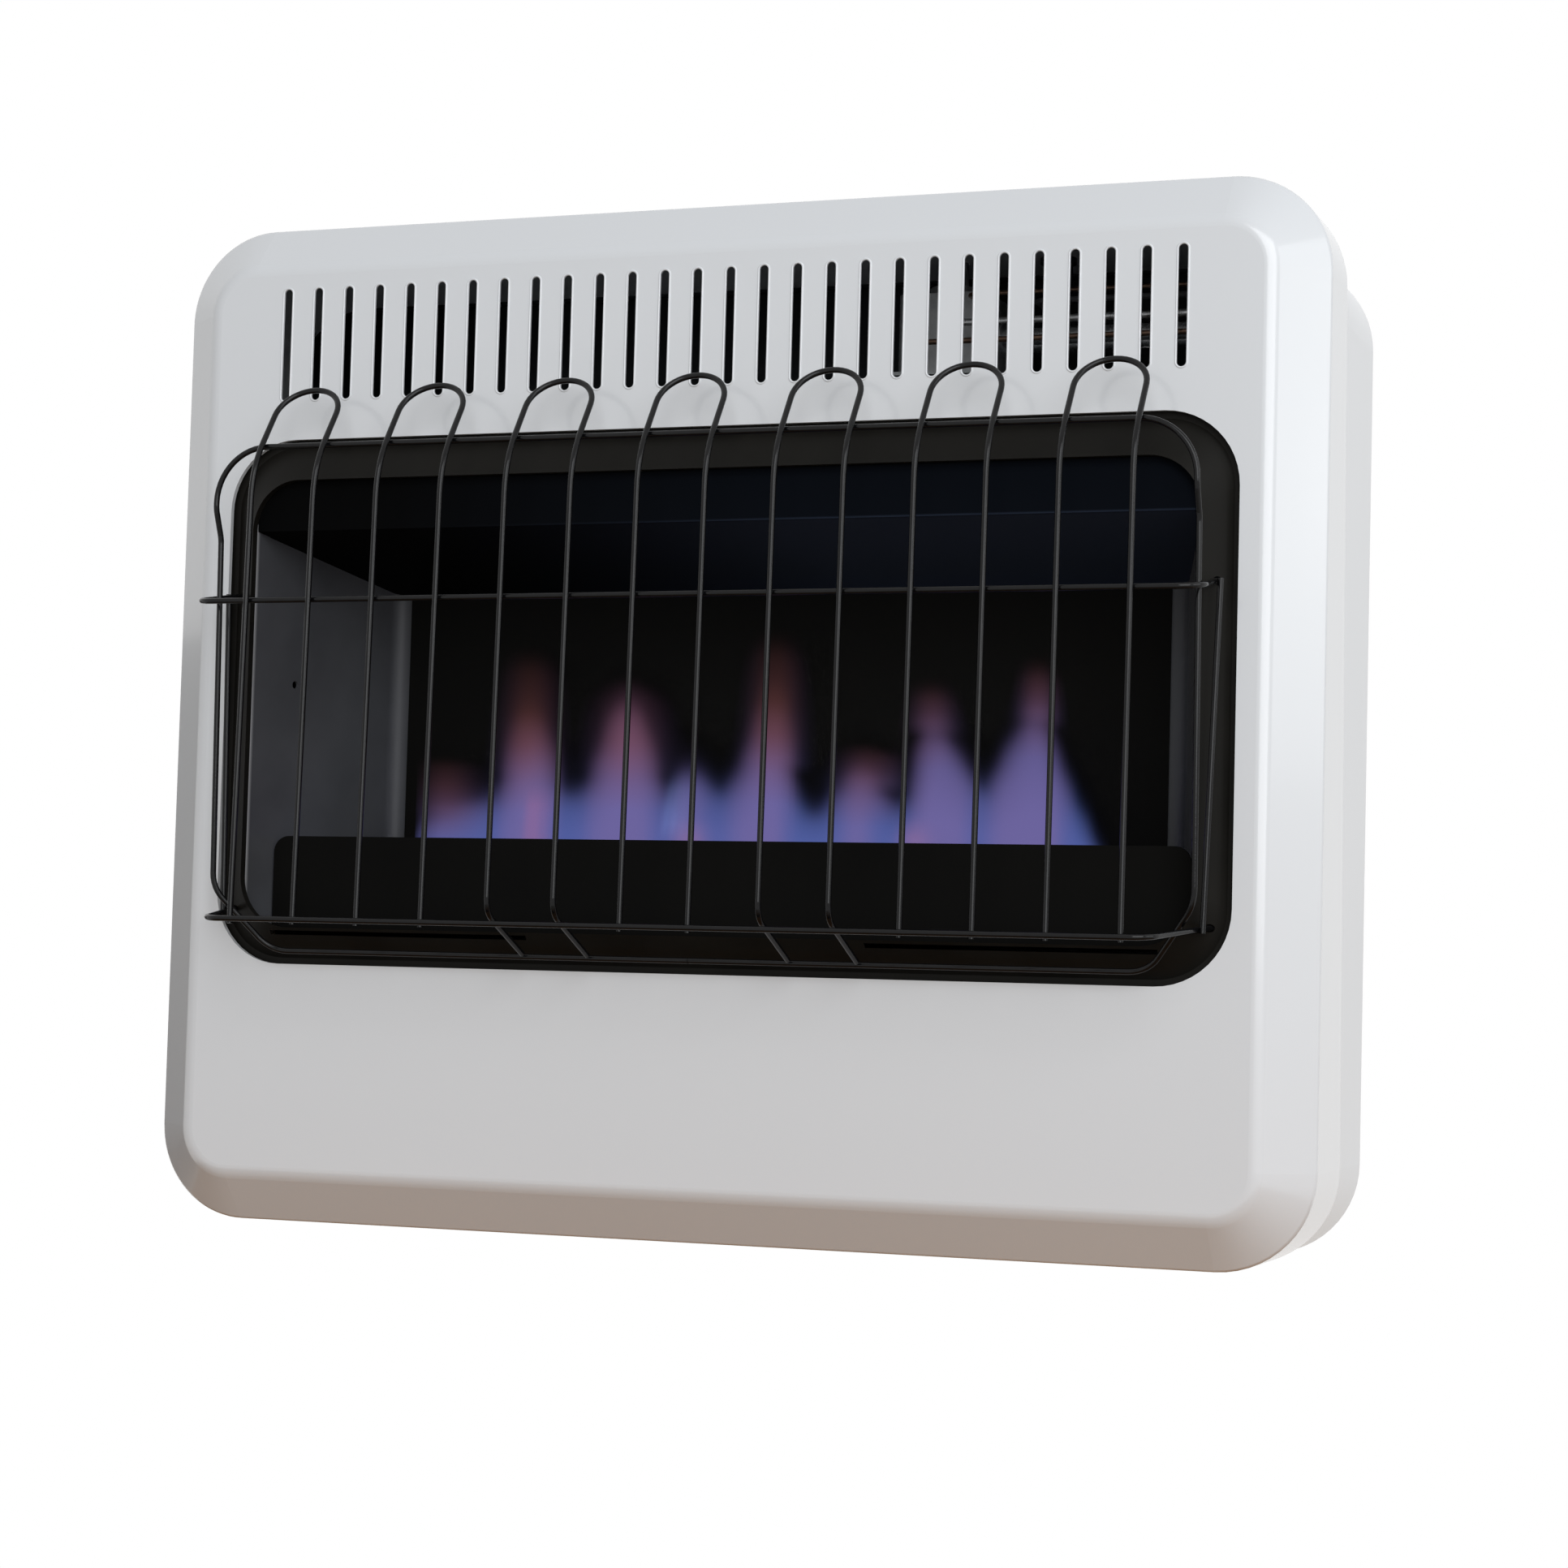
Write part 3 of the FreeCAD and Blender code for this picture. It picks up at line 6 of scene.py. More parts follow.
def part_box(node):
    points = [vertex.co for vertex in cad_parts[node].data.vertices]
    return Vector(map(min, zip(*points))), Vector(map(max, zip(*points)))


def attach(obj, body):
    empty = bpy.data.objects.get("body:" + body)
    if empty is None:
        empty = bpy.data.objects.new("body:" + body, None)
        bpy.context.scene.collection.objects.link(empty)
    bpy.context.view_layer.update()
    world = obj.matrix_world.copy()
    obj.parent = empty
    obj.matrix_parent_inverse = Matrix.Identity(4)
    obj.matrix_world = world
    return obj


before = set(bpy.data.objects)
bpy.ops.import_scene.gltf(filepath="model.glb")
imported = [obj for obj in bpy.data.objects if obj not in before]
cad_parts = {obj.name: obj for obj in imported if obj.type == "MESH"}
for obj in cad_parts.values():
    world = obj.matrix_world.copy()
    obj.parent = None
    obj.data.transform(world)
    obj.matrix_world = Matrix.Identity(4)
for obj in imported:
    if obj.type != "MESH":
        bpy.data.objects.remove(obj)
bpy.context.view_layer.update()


# Back panel: a flat pan of galvanised sheet that closes the casing and goes against the wall.
# Its zinc shows grey crystals, its inner face carries a painted shade that darkens the inside seen through
# the slots, and it hangs on four screws.
def start_finish(name, colour, roughness, metallic=0.0):
    """A new finish and the tree of nodes that its pattern is added to."""
    finish = bpy.data.materials.new(name)
    finish.use_nodes = True
    shader = finish.node_tree.nodes["Principled BSDF"]
    shader.inputs["Base Color"].default_value = (*colour, 1)
    shader.inputs["Roughness"].default_value = roughness
    shader.inputs["Metallic"].default_value = metallic
    return finish, finish.node_tree, shader


def place_pattern(tree, kind, scale, stretch=(1, 1, 1)):
    """A pattern of a kind, such as noise, on the piece's own coordinates in metres."""
    place = tree.nodes.new("ShaderNodeTexCoord")
    mapping = tree.nodes.new("ShaderNodeMapping")
    mapping.inputs["Scale"].default_value = stretch
    pattern = tree.nodes.new(kind)
    pattern.inputs["Scale"].default_value = scale
    tree.links.new(place.outputs["Object"], mapping.inputs["Vector"])
    tree.links.new(mapping.outputs["Vector"], pattern.inputs["Vector"])
    return pattern


def grain(tree, scale, detail=3.0, stretch=(1, 1, 1)):
    noise = place_pattern(tree, "ShaderNodeTexNoise", scale, stretch)
    noise.inputs["Detail"].default_value = detail
    return noise.outputs["Fac"]


def colour_by(tree, shader, source, stops):
    """Base colour from a pattern, through stops of (share, colour)."""
    ramp = tree.nodes.new("ShaderNodeValToRGB")
    while len(ramp.color_ramp.elements) < len(stops):
        ramp.color_ramp.elements.new(0.5)
    for element, (share, colour) in zip(ramp.color_ramp.elements, stops):
        element.position = share
        element.color = (*colour, 1)
    tree.links.new(source, ramp.inputs["Fac"])
    tree.links.new(ramp.outputs["Color"], shader.inputs["Base Color"])


def gloss_by(tree, shader, source, low, high):
    """Roughness from a pattern, between low and high."""
    spread = tree.nodes.new("ShaderNodeMapRange")
    spread.inputs["From Min"].default_value = 0.3
    spread.inputs["From Max"].default_value = 0.7
    spread.inputs["To Min"].default_value = low
    spread.inputs["To Max"].default_value = high
    tree.links.new(source, spread.inputs["Value"])
    tree.links.new(spread.outputs["Result"], shader.inputs["Roughness"])


def relief_by(tree, shader, source, height, strength):
    """Fine relief from a pattern; height in metres."""
    bump = tree.nodes.new("ShaderNodeBump")
    bump.inputs["Strength"].default_value = strength
    bump.inputs["Distance"].default_value = height
    tree.links.new(source, bump.inputs["Height"])
    tree.links.new(bump.outputs["Normal"], shader.inputs["Normal"])


def share_along(tree, axis, start, end):
    """0 to 1 along an axis of the piece, from one place to another in metres."""
    place = tree.nodes.new("ShaderNodeTexCoord")
    axes = tree.nodes.new("ShaderNodeSeparateXYZ")
    spread = tree.nodes.new("ShaderNodeMapRange")
    spread.inputs["From Min"].default_value = start
    spread.inputs["From Max"].default_value = end
    tree.links.new(place.outputs["Object"], axes.inputs["Vector"])
    tree.links.new(axes.outputs[axis], spread.inputs["Value"])
    return spread.outputs["Result"]


def blend_to(tree, shader, share, colour):
    """Takes the base colour over to another one by a share."""
    mix = tree.nodes.new("ShaderNodeMix")
    mix.data_type = "RGBA"
    tree.links.new(shader.inputs["Base Color"].links[0].from_socket, mix.inputs["A"])
    mix.inputs["B"].default_value = (*colour, 1)
    tree.links.new(share, mix.inputs["Factor"])
    tree.links.new(mix.outputs["Result"], shader.inputs["Base Color"])


def dress(finish, *names):
    """Gives CAD nodes a finish."""
    for name in names:
        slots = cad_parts[name].data.materials
        slots.clear()
        slots.append(finish)


zinc, zinc_tree, zinc_shader = start_finish("galvanised_zinc", (0.52, 0.54, 0.56), 0.4, 0.85)
crystals = place_pattern(zinc_tree, "ShaderNodeTexVoronoi", 140.0)
crystals.feature = "F1"
crystal_tone = zinc_tree.nodes.new("ShaderNodeSeparateColor")
zinc_tree.links.new(crystals.outputs["Color"], crystal_tone.inputs["Color"])
colour_by(zinc_tree, zinc_shader, crystal_tone.outputs["Red"],
          [(0.0, (0.45, 0.47, 0.49)), (0.5, (0.51, 0.53, 0.55)), (1.0, (0.57, 0.59, 0.60))])
gloss_by(zinc_tree, zinc_shader, crystal_tone.outputs["Green"], 0.32, 0.48)
relief_by(zinc_tree, zinc_shader, grain(zinc_tree, 900.0), 0.0001, 0.25)
ZINC_SKIN = 0.0002
INNER_SHADE_FROM = 0.0008
INNER_SHADE = (0.02, 0.022, 0.025)
wall_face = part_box("back_panel")[1].y
# Painted shade: the inner face is taken to a dark grey, standing in for the shade inside the casing.
inner_shade_share = share_along(zinc_tree, "Y", wall_face - ZINC_SKIN, wall_face - INNER_SHADE_FROM)
blend_to(zinc_tree, zinc_shader, inner_shade_share, INNER_SHADE)
dress(zinc, "back_panel")

# Casing: a wrap of sheet with rounded corners, powder coated white like the cover,
# with air inlets in the bottom and the controls through the top.
WHITE_LOW = (0.750, 0.765, 0.787)
WHITE_HIGH = (0.775, 0.79, 0.81)


def white_enamel(name, roughness, coat):
    """Gloss white powder coat with a faint orange-peel relief and a slight drift of tone."""
    finish, tree, shader = start_finish(name, WHITE_HIGH, roughness)
    colour_by(tree, shader, grain(tree, 2.5, 1.0), [(0.2, WHITE_LOW), (0.8, WHITE_HIGH)])
    gloss_by(tree, shader, grain(tree, 6.0, 1.0), roughness - 0.015, roughness + 0.015)
    relief_by(tree, shader, grain(tree, 380.0, 1.0), 0.00008, 0.06)
    shader.inputs["Coat Weight"].default_value = coat
    shader.inputs["Coat Roughness"].default_value = 0.10
    return finish


dress(white_enamel("casing_enamel", 0.30, 0.3), "casing")

# Straps, upper baffle and control bracket: galvanised pressings screwed between the back panel
# and the firebox, with fine rolling marks along the strip.
strip, strip_tree, strip_shader = start_finish("strip_zinc", (0.48, 0.50, 0.52), 0.42, 0.85)
rolling = grain(strip_tree, 60.0, 4.0, (1, 14, 14))
colour_by(strip_tree, strip_shader, rolling, [(0.3, (0.40, 0.42, 0.43)), (0.7, (0.55, 0.57, 0.58))])
gloss_by(strip_tree, strip_shader, rolling, 0.34, 0.5)
relief_by(strip_tree, strip_shader, rolling, 0.0001, 0.3)
dress(strip, "firebox_brackets", "upper_baffle", "control_bracket")

# Firebox floor, back wall and deflector: sheet coated with heat-proof black, dulled by the heat.
# The deflector over the flames carries a painted reflection of their blue glow, bluest right of the middle,
# dimmer on its visor, darker black at the left.
heat_black, black_tree, black_shader = start_finish("heat_black", (0.0045, 0.0044, 0.0040), 0.55)
heat_cloud = grain(black_tree, 9.0, 5.0)
colour_by(black_tree, black_shader, heat_cloud,
          [(0.3, (0.0034, 0.0033, 0.0031)), (0.7, (0.0058, 0.0056, 0.0051))])
gloss_by(black_tree, black_shader, heat_cloud, 0.48, 0.66)
relief_by(black_tree, black_shader, grain(black_tree, 700.0), 0.0001, 0.25)
black_shader.inputs["Specular IOR Level"].default_value = 0.03
dress(heat_black, "firebox_floor", "firebox_back")
VISOR_RISE = 0.0245
VISOR_BEND = 0.001
REFLECTION_LEFT = -0.20
REFLECTION_RIGHT = 0.06
UNREFLECTING_RIGHT = 0.04
FLAME_REFLECTION_BLUE = (0.028, 0.038, 0.062)
VISOR_REFLECTION_BLUE = (0.0042, 0.0054, 0.0082)
UNREFLECTING_BLACK = (0.0026, 0.0027, 0.0028)
reflection_painted, reflection_painted_tree, reflection_painted_shader = start_finish("reflection_painted_black", (0.0025, 0.0027, 0.003), 0.6)
reflection_painted_cloud = grain(reflection_painted_tree, 5.0, 3.0)
colour_by(reflection_painted_tree, reflection_painted_shader, reflection_painted_cloud,
          [(0.3, (0.0020, 0.0021, 0.0022)), (0.7, (0.0030, 0.0031, 0.0033))])
# Painted reflection of the flames' blue glow: bluer towards the right, a dimmer navy on the visor, a darker
# plain black at the left.
blend_to(reflection_painted_tree, reflection_painted_shader, share_along(reflection_painted_tree, "X", REFLECTION_LEFT, REFLECTION_RIGHT), FLAME_REFLECTION_BLUE)
visor_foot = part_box("heat_deflector")[0].z + VISOR_RISE
on_visor = share_along(reflection_painted_tree, "Z", visor_foot - VISOR_BEND, visor_foot + VISOR_BEND)
blend_to(reflection_painted_tree, reflection_painted_shader, on_visor, VISOR_REFLECTION_BLUE)
blend_to(reflection_painted_tree, reflection_painted_shader, share_along(reflection_painted_tree, "X", UNREFLECTING_RIGHT, REFLECTION_LEFT), UNREFLECTING_BLACK)
gloss_by(reflection_painted_tree, reflection_painted_shader, reflection_painted_cloud, 0.55, 0.7)
reflection_painted_shader.inputs["Specular IOR Level"].default_value = 0.01
dress(reflection_painted, "heat_deflector")

# Firebox sides: satin aluminised sheet, splayed out to the front and bent round into the back wall,
# with cloudy handling and heat marks and a painted highlight along the front edge.
satin, satin_tree, satin_shader = start_finish("satin_sheet", (0.058, 0.060, 0.065), 0.42)
cloud = grain(satin_tree, 13.0, 6.0)
colour_by(satin_tree, satin_shader, cloud, [(0.3, (0.046, 0.047, 0.052)), (0.7, (0.070, 0.072, 0.079))])
gloss_by(satin_tree, satin_shader, cloud, 0.36, 0.5)
relief_by(satin_tree, satin_shader, grain(satin_tree, 420.0, 2.0, (1, 1, 6)), 0.0001, 0.2)
satin_shader.inputs["Specular IOR Level"].default_value = 0.2
HIGHLIGHT_W = 0.0022
EDGE_HIGHLIGHT = (0.30, 0.30, 0.31)
side_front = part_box("firebox_side_left")[0].y
# Painted highlight: a light grey strip along the front edge stands in for the light caught on the bend.
blend_to(satin_tree, satin_shader, share_along(satin_tree, "Y", side_front + HIGHLIGHT_W, side_front), EDGE_HIGHLIGHT)
dress(satin, "firebox_side_left", "firebox_side_right")

# Bezel: a drawn surround that rises through the cover's opening, in a warm satin black,
# held to the straps by four plated screws.
bezel_black, bezel_tree, bezel_shader = start_finish("bezel_black", (0.0085, 0.0078, 0.0066), 0.42)
bezel_cloud = grain(bezel_tree, 30.0, 4.0)
colour_by(bezel_tree, bezel_shader, bezel_cloud,
          [(0.3, (0.0070, 0.0065, 0.0055)), (0.7, (0.0100, 0.0092, 0.0078))])
gloss_by(bezel_tree, bezel_shader, bezel_cloud, 0.38, 0.48)
relief_by(bezel_tree, bezel_shader, grain(bezel_tree, 800.0), 0.0001, 0.2)
bezel_shader.inputs["Specular IOR Level"].default_value = 0.07
dress(bezel_black, "firebox_bezel")
plated, plated_tree, plated_shader = start_finish("plated_steel", (0.62, 0.62, 0.61), 0.3, 0.95)
turning = grain(plated_tree, 500.0, 3.0)
colour_by(plated_tree, plated_shader, turning, [(0.3, (0.52, 0.52, 0.51)), (0.7, (0.68, 0.68, 0.67))])
gloss_by(plated_tree, plated_shader, turning, 0.24, 0.38)
dress(plated, "bezel_screws")

# Burner: a stainless tube with a row of cut ports, straw and blue from the heat,
# held on two saddles, with a brass orifice fitting in its mixer end.
burner_steel, burner_tree, burner_shader = start_finish("burner_steel", (0.40, 0.36, 0.31), 0.35, 0.95)
tint = grain(burner_tree, 24.0, 4.0)
colour_by(burner_tree, burner_shader, tint,
          [(0.3, (0.22, 0.24, 0.34)), (0.5, (0.42, 0.37, 0.31)), (0.7, (0.50, 0.41, 0.27))])
gloss_by(burner_tree, burner_shader, tint, 0.28, 0.44)
relief_by(burner_tree, burner_shader, grain(burner_tree, 300.0, 2.0, (0.1, 1, 1)), 0.0001, 0.2)
dress(burner_steel, "burner_tube")
dress(strip, "burner_brackets")
brass, brass_tree, brass_shader = start_finish("turned_brass", (0.66, 0.50, 0.23), 0.28, 1.0)
brass_marks = grain(brass_tree, 350.0, 3.0, (4, 1, 1))
colour_by(brass_tree, brass_shader, brass_marks, [(0.3, (0.52, 0.38, 0.16)), (0.7, (0.74, 0.58, 0.28))])
gloss_by(brass_tree, brass_shader, brass_marks, 0.22, 0.36)
dress(brass, "orifice_fitting")

# Shield: a folded plate that stands on the firebox floor in front of the burner,
# in the same heat-proof black as the back wall.
dress(heat_black, "burner_shield")

# Pilot: burner, spark electrode in a glazed ceramic sleeve and thermocouple,
# side by side on a small zinc bracket behind the shield.
dress(strip, "pilot_bracket")
dress(burner_steel, "pilot_burner")
glaze, glaze_tree, glaze_shader = start_finish("glazed_ceramic", (0.80, 0.78, 0.73), 0.25)
glaze_marks = grain(glaze_tree, 160.0, 4.0)
colour_by(glaze_tree, glaze_shader, glaze_marks, [(0.3, (0.66, 0.62, 0.55)), (0.7, (0.83, 0.81, 0.76))])
gloss_by(glaze_tree, glaze_shader, glaze_marks, 0.18, 0.32)
dress(glaze, "spark_electrode")
copper, copper_tree, copper_shader = start_finish("drawn_copper", (0.22, 0.14, 0.10), 0.38, 1.0)
copper_marks = grain(copper_tree, 180.0, 4.0)
colour_by(copper_tree, copper_shader, copper_marks, [(0.3, (0.15, 0.095, 0.070)), (0.7, (0.28, 0.18, 0.13))])
gloss_by(copper_tree, copper_shader, copper_marks, 0.26, 0.42)
dress(copper, "thermocouple", "thermocouple_lead")

# Pressure regulator and gas valve: castings in a light alloy with a fine sand-cast skin;
# the spindle is plated steel.
cast, cast_tree, cast_shader = start_finish("cast_alloy", (0.55, 0.56, 0.57), 0.5, 0.8)
skin = grain(cast_tree, 260.0, 5.0)
colour_by(cast_tree, cast_shader, skin, [(0.3, (0.47, 0.48, 0.49)), (0.7, (0.60, 0.61, 0.62))])
gloss_by(cast_tree, cast_shader, skin, 0.42, 0.6)
relief_by(cast_tree, cast_shader, skin, 0.0002, 0.4)
dress(cast, "pressure_regulator", "gas_valve")
dress(plated, "valve_spindle")

# Gas tubes: drawn aluminium with long faint scratches, bent round the firebox
# and flared into their fittings.
drawn, drawn_tree, drawn_shader = start_finish("drawn_tube", (0.66, 0.67, 0.68), 0.28, 0.95)
scratches = grain(drawn_tree, 220.0, 3.0, (1, 1, 0.15))
colour_by(drawn_tree, drawn_shader, scratches, [(0.3, (0.57, 0.58, 0.59)), (0.7, (0.72, 0.73, 0.74))])
gloss_by(drawn_tree, drawn_shader, scratches, 0.22, 0.36)
dress(drawn, "supply_tube", "burner_gas_tube", "pilot_gas_tube")

# Thermostat bulb and capillary: tarnished copper like the thermocouple's lead,
# held in two spring clips on the casing's bottom.
dress(copper, "thermostat_bulb")
dress(strip, "bulb_clips")

# Spark igniter: a black moulded body hung in the casing's top, a red push button,
# and a lead in a dark grey silicone sleeve.
moulded, moulded_tree, moulded_shader = start_finish("moulded_black", (0.022, 0.022, 0.024), 0.42)
mould_skin = grain(moulded_tree, 650.0, 3.0)
colour_by(moulded_tree, moulded_shader, mould_skin, [(0.3, (0.018, 0.018, 0.02)), (0.7, (0.03, 0.03, 0.032))])
gloss_by(moulded_tree, moulded_shader, mould_skin, 0.36, 0.52)
relief_by(moulded_tree, moulded_shader, mould_skin, 0.00015, 0.35)
dress(moulded, "igniter_body")
button_red, button_tree, button_shader = start_finish("button_red", (0.45, 0.03, 0.025), 0.3)
button_skin = grain(button_tree, 400.0, 3.0)
colour_by(button_tree, button_shader, button_skin, [(0.3, (0.38, 0.022, 0.02)), (0.7, (0.50, 0.035, 0.028))])
gloss_by(button_tree, button_shader, button_skin, 0.24, 0.36)
dress(button_red, "igniter_button")
sleeve, sleeve_tree, sleeve_shader = start_finish("silicone_sleeve", (0.05, 0.05, 0.055), 0.6)
sleeve_skin = grain(sleeve_tree, 240.0, 4.0)
colour_by(sleeve_tree, sleeve_shader, sleeve_skin,
          [(0.3, (0.038, 0.038, 0.042)), (0.7, (0.065, 0.065, 0.070))])
gloss_by(sleeve_tree, sleeve_shader, sleeve_skin, 0.5, 0.7)
dress(sleeve, "igniter_lead")

# Control knob: black moulding with fluted sides on the valve's spindle. A white line fills
# the groove in its top and turns with it.
dress(moulded, "control_knob")
knob_low, knob_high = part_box("control_knob")
knob_middle = (knob_low + knob_high) / 2
POINTER_W = 0.0018
POINTER_INNER = 0.0062
POINTER_OUTER = 0.0148
POINTER_DEEP = 0.0007
POINTER_SINK = 0.00045
POINTER_ROUND = 0.0003
bpy.ops.object.select_all(action="DESELECT")
bpy.ops.mesh.primitive_cube_add(size=1, location=(
    knob_middle.x, knob_middle.y - (POINTER_INNER + POINTER_OUTER) / 2, knob_high.z - POINTER_SINK))
pointer = bpy.context.object
pointer.name = "knob_pointer"
pointer.scale = (POINTER_W, POINTER_OUTER - POINTER_INNER, POINTER_DEEP)
bpy.ops.object.transform_apply(location=True, rotation=True, scale=True)
rounding = pointer.modifiers.new("rounding", "BEVEL")
rounding.width = POINTER_ROUND
rounding.segments = 2
bpy.ops.object.modifier_apply(modifier=rounding.name)
pointer_paint, pointer_tree, pointer_shader = start_finish("pointer_paint", (0.8, 0.8, 0.78), 0.5)
pointer_skin = grain(pointer_tree, 900.0)
colour_by(pointer_tree, pointer_shader, pointer_skin, [(0.3, (0.7, 0.7, 0.68)), (0.7, (0.84, 0.84, 0.82))])
pointer.data.materials.append(pointer_paint)
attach(pointer, "knob")

# Front cover: one drawn sheet in gloss white enamel with a soft bevel, pushed over the casing
# and held by two plated screws from below.
cover_enamel = white_enamel("cover_enamel", 0.24, 0.6)
dress(cover_enamel, "front_cover")
dress(plated, "cover_screws")

# Slot rims: the edge of each air slot is rolled over, which leaves a soft raised lip round it.
# One rim is drawn out from a ring and repeated along the row.
SLOT_COUNT = 28
SLOT_W = 0.005
SLOT_LENGTH = 0.0638
SLOT_SIDE_BORDER = 0.0733
SLOT_BORDER = 0.0392
RIM_R = 0.0006
RIM_SINK = 0.3 * RIM_R
MIDDLE_ROW = 0.00001
cover_low, cover_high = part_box("front_cover")
slot_x = cover_high.x - SLOT_SIDE_BORDER
slot_z = cover_high.z - SLOT_BORDER - SLOT_LENGTH / 2
bpy.ops.object.select_all(action="DESELECT")
bpy.ops.mesh.primitive_torus_add(
    major_radius=SLOT_W / 2 + RIM_R, minor_radius=RIM_R, major_segments=32, minor_segments=10,
    location=(-slot_x, cover_low.y + RIM_SINK, slot_z), rotation=(math.pi / 2, 0, 0))
slot_rims = bpy.context.object
slot_rims.name = "slot_rims"
bpy.ops.object.transform_apply(location=True, rotation=True, scale=True)
straight = (SLOT_LENGTH - SLOT_W) / 2


def select_points(piece, test):
    """Selects the points of a piece that pass a test, and nothing else, and goes into edit mode."""
    bpy.ops.object.mode_set(mode="EDIT")
    bpy.ops.mesh.select_mode(type="VERT")
    bpy.ops.mesh.select_all(action="DESELECT")
    bpy.ops.object.mode_set(mode="OBJECT")
    for vertex in piece.data.vertices:
        vertex.select = test(vertex.co)
    bpy.ops.object.mode_set(mode="EDIT")


for way in (1, -1):
    select_points(slot_rims, lambda co: MIDDLE_ROW < (co.z - slot_z) * way < SLOT_W)
    bpy.ops.transform.translate(value=(0, 0, way * straight))
    bpy.ops.object.mode_set(mode="OBJECT")
row = slot_rims.modifiers.new("row", "ARRAY")
row.count = SLOT_COUNT
row.use_relative_offset = False
row.use_constant_offset = True
row.constant_offset_displace = (2 * slot_x / (SLOT_COUNT - 1), 0, 0)
bpy.ops.object.modifier_apply(modifier=row.name)
bpy.ops.object.shade_smooth()
slot_rims.data.materials.append(cover_enamel)
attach(slot_rims, "heater")

# Guard: bent wires spot-welded at their crossings and coated satin black, their ends
# sprung into holes in the bezel.
wire_black, wire_tree, wire_shader = start_finish("guard_coating", (0.004, 0.004, 0.0045), 0.18)
wire_skin = grain(wire_tree, 260.0, 4.0)
colour_by(wire_tree, wire_shader, wire_skin, [(0.3, (0.003, 0.003, 0.0034)), (0.7, (0.005, 0.005, 0.0056))])
gloss_by(wire_tree, wire_shader, wire_skin, 0.08, 0.14)
relief_by(wire_tree, wire_shader, grain(wire_tree, 900.0), 0.0001, 0.25)
wire_shader.inputs["Specular IOR Level"].default_value = 0.22
dress(wire_black, "guard_frame", "guard_hairpins", "guard_mid_bar", "guard_lower_bar", "guard_side_stays")

# Flames: three thin curtains over the burner's ports, each a grid folded to a lens. They show only
# their own glow: a lilac body, blue in its low places, with tips that redden and fade.
burner_low, burner_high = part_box("burner_tube")
burner_y = (burner_low.y + burner_high.y) / 2
FLAME_FOOT = burner_high.z
FLAME_LEFT = -0.204
FLAME_RIGHT = 0.204
FLAME_THICK = 0.005
END_FADE = 0.006
EDGE_FADE = 0.0034
EDGE_DROP = 0.0055
EDGE_ROOM = 6 * EDGE_FADE
TIP_SPREAD = 2.2
TIP_FLATNESS = 6
SOFTENING = (-0.003, -0.0015, 0.0, 0.0015, 0.003)
DIM_FROM = 0.30
DIM_BY = 0.62
LILAC_FROM = 0.038
LILAC_RANGE = 0.016
REDDEN_EARLY = 0.018
REDDEN_RANGE = 0.040
REDDEN_SPREAD = 0.4
VEIL_START = 0.008
STREAK_SHARE = 0.85
STREAK_FOOT = 0.010
STREAK_TIP = 0.012
END_ROUND = 0.3
TOP_FADE = 8
SEAM_GAP = 0.00005
COLUMNS = 260
ROWS = 60
BLUE = Vector((0.080, 0.112, 0.345))
LILAC = Vector((0.155, 0.132, 0.350))
MAUVE = Vector((0.200, 0.088, 0.150))
EMBER = Vector((0.115, 0.042, 0.040))
PINK = Vector((0.36, 0.15, 0.31))
PALE = Vector((0.22, 0.28, 0.66))
ROSE = Vector((0.25, 0.15, 0.34))
# The upper edge of the flames: place along the burner, height over it. The places were read
# off the photograph and turned into metres through the camera fitted to it.
FLAME_EDGE = (
    (-0.204, 0.012), (-0.198, 0.026), (-0.190, 0.030), (-0.168, 0.034), (-0.155, 0.036), (-0.148, 0.048),
    (-0.144, 0.076), (-0.137, 0.090), (-0.127, 0.071), (-0.120, 0.043), (-0.110, 0.037), (-0.097, 0.043),
    (-0.089, 0.063), (-0.082, 0.086), (-0.075, 0.092), (-0.066, 0.074), (-0.060, 0.050), (-0.051, 0.035),
    (-0.044, 0.047), (-0.037, 0.054), (-0.029, 0.047), (-0.020, 0.038), (-0.015, 0.041), (-0.005, 0.051),
    (0.001, 0.067), (0.007, 0.089), (0.013, 0.102), (0.018, 0.082), (0.020, 0.052), (0.026, 0.036),
    (0.035, 0.027), (0.045, 0.031), (0.053, 0.043), (0.065, 0.055), (0.076, 0.041), (0.086, 0.031),
    (0.096, 0.038), (0.100, 0.069), (0.106, 0.079), (0.115, 0.067), (0.125, 0.053), (0.131, 0.044),
    (0.137, 0.040), (0.143, 0.051), (0.153, 0.069), (0.161, 0.082), (0.166, 0.087), (0.171, 0.071),
    (0.178, 0.052), (0.187, 0.033), (0.198, 0.010), (0.204, 0.002))
# Each reddened tip: place, half width, rise from which it reddens, top, strength of its veil, colour.
TIPS = (
    (-0.189, 0.014, 0.018, 0.058, 0.35, EMBER), (-0.137, 0.011, 0.042, 0.122, 0.45, EMBER),
    (-0.075, 0.016, 0.044, 0.102, 0.30, MAUVE), (0.013, 0.010, 0.048, 0.130, 0.50, EMBER),
    (0.070, 0.014, 0.036, 0.064, 0.35, EMBER), (0.105, 0.009, 0.068, 0.102, 0.35, EMBER),
    (0.165, 0.007, 0.074, 0.114, 0.45, EMBER))
# Each bright streak: place, half width, lean to the right, lower end, upper end, colour.
STREAKS = (
    (-0.130, 0.0030, 0.05, -0.010, 0.040, PINK), (-0.0465, 0.0024, 0.10, 0.008, 0.050, PALE),
    (0.097, 0.0070, 0.0, -0.010, 0.024, ROSE), (-0.034, 0.0070, 0.0, -0.010, 0.022, ROSE))
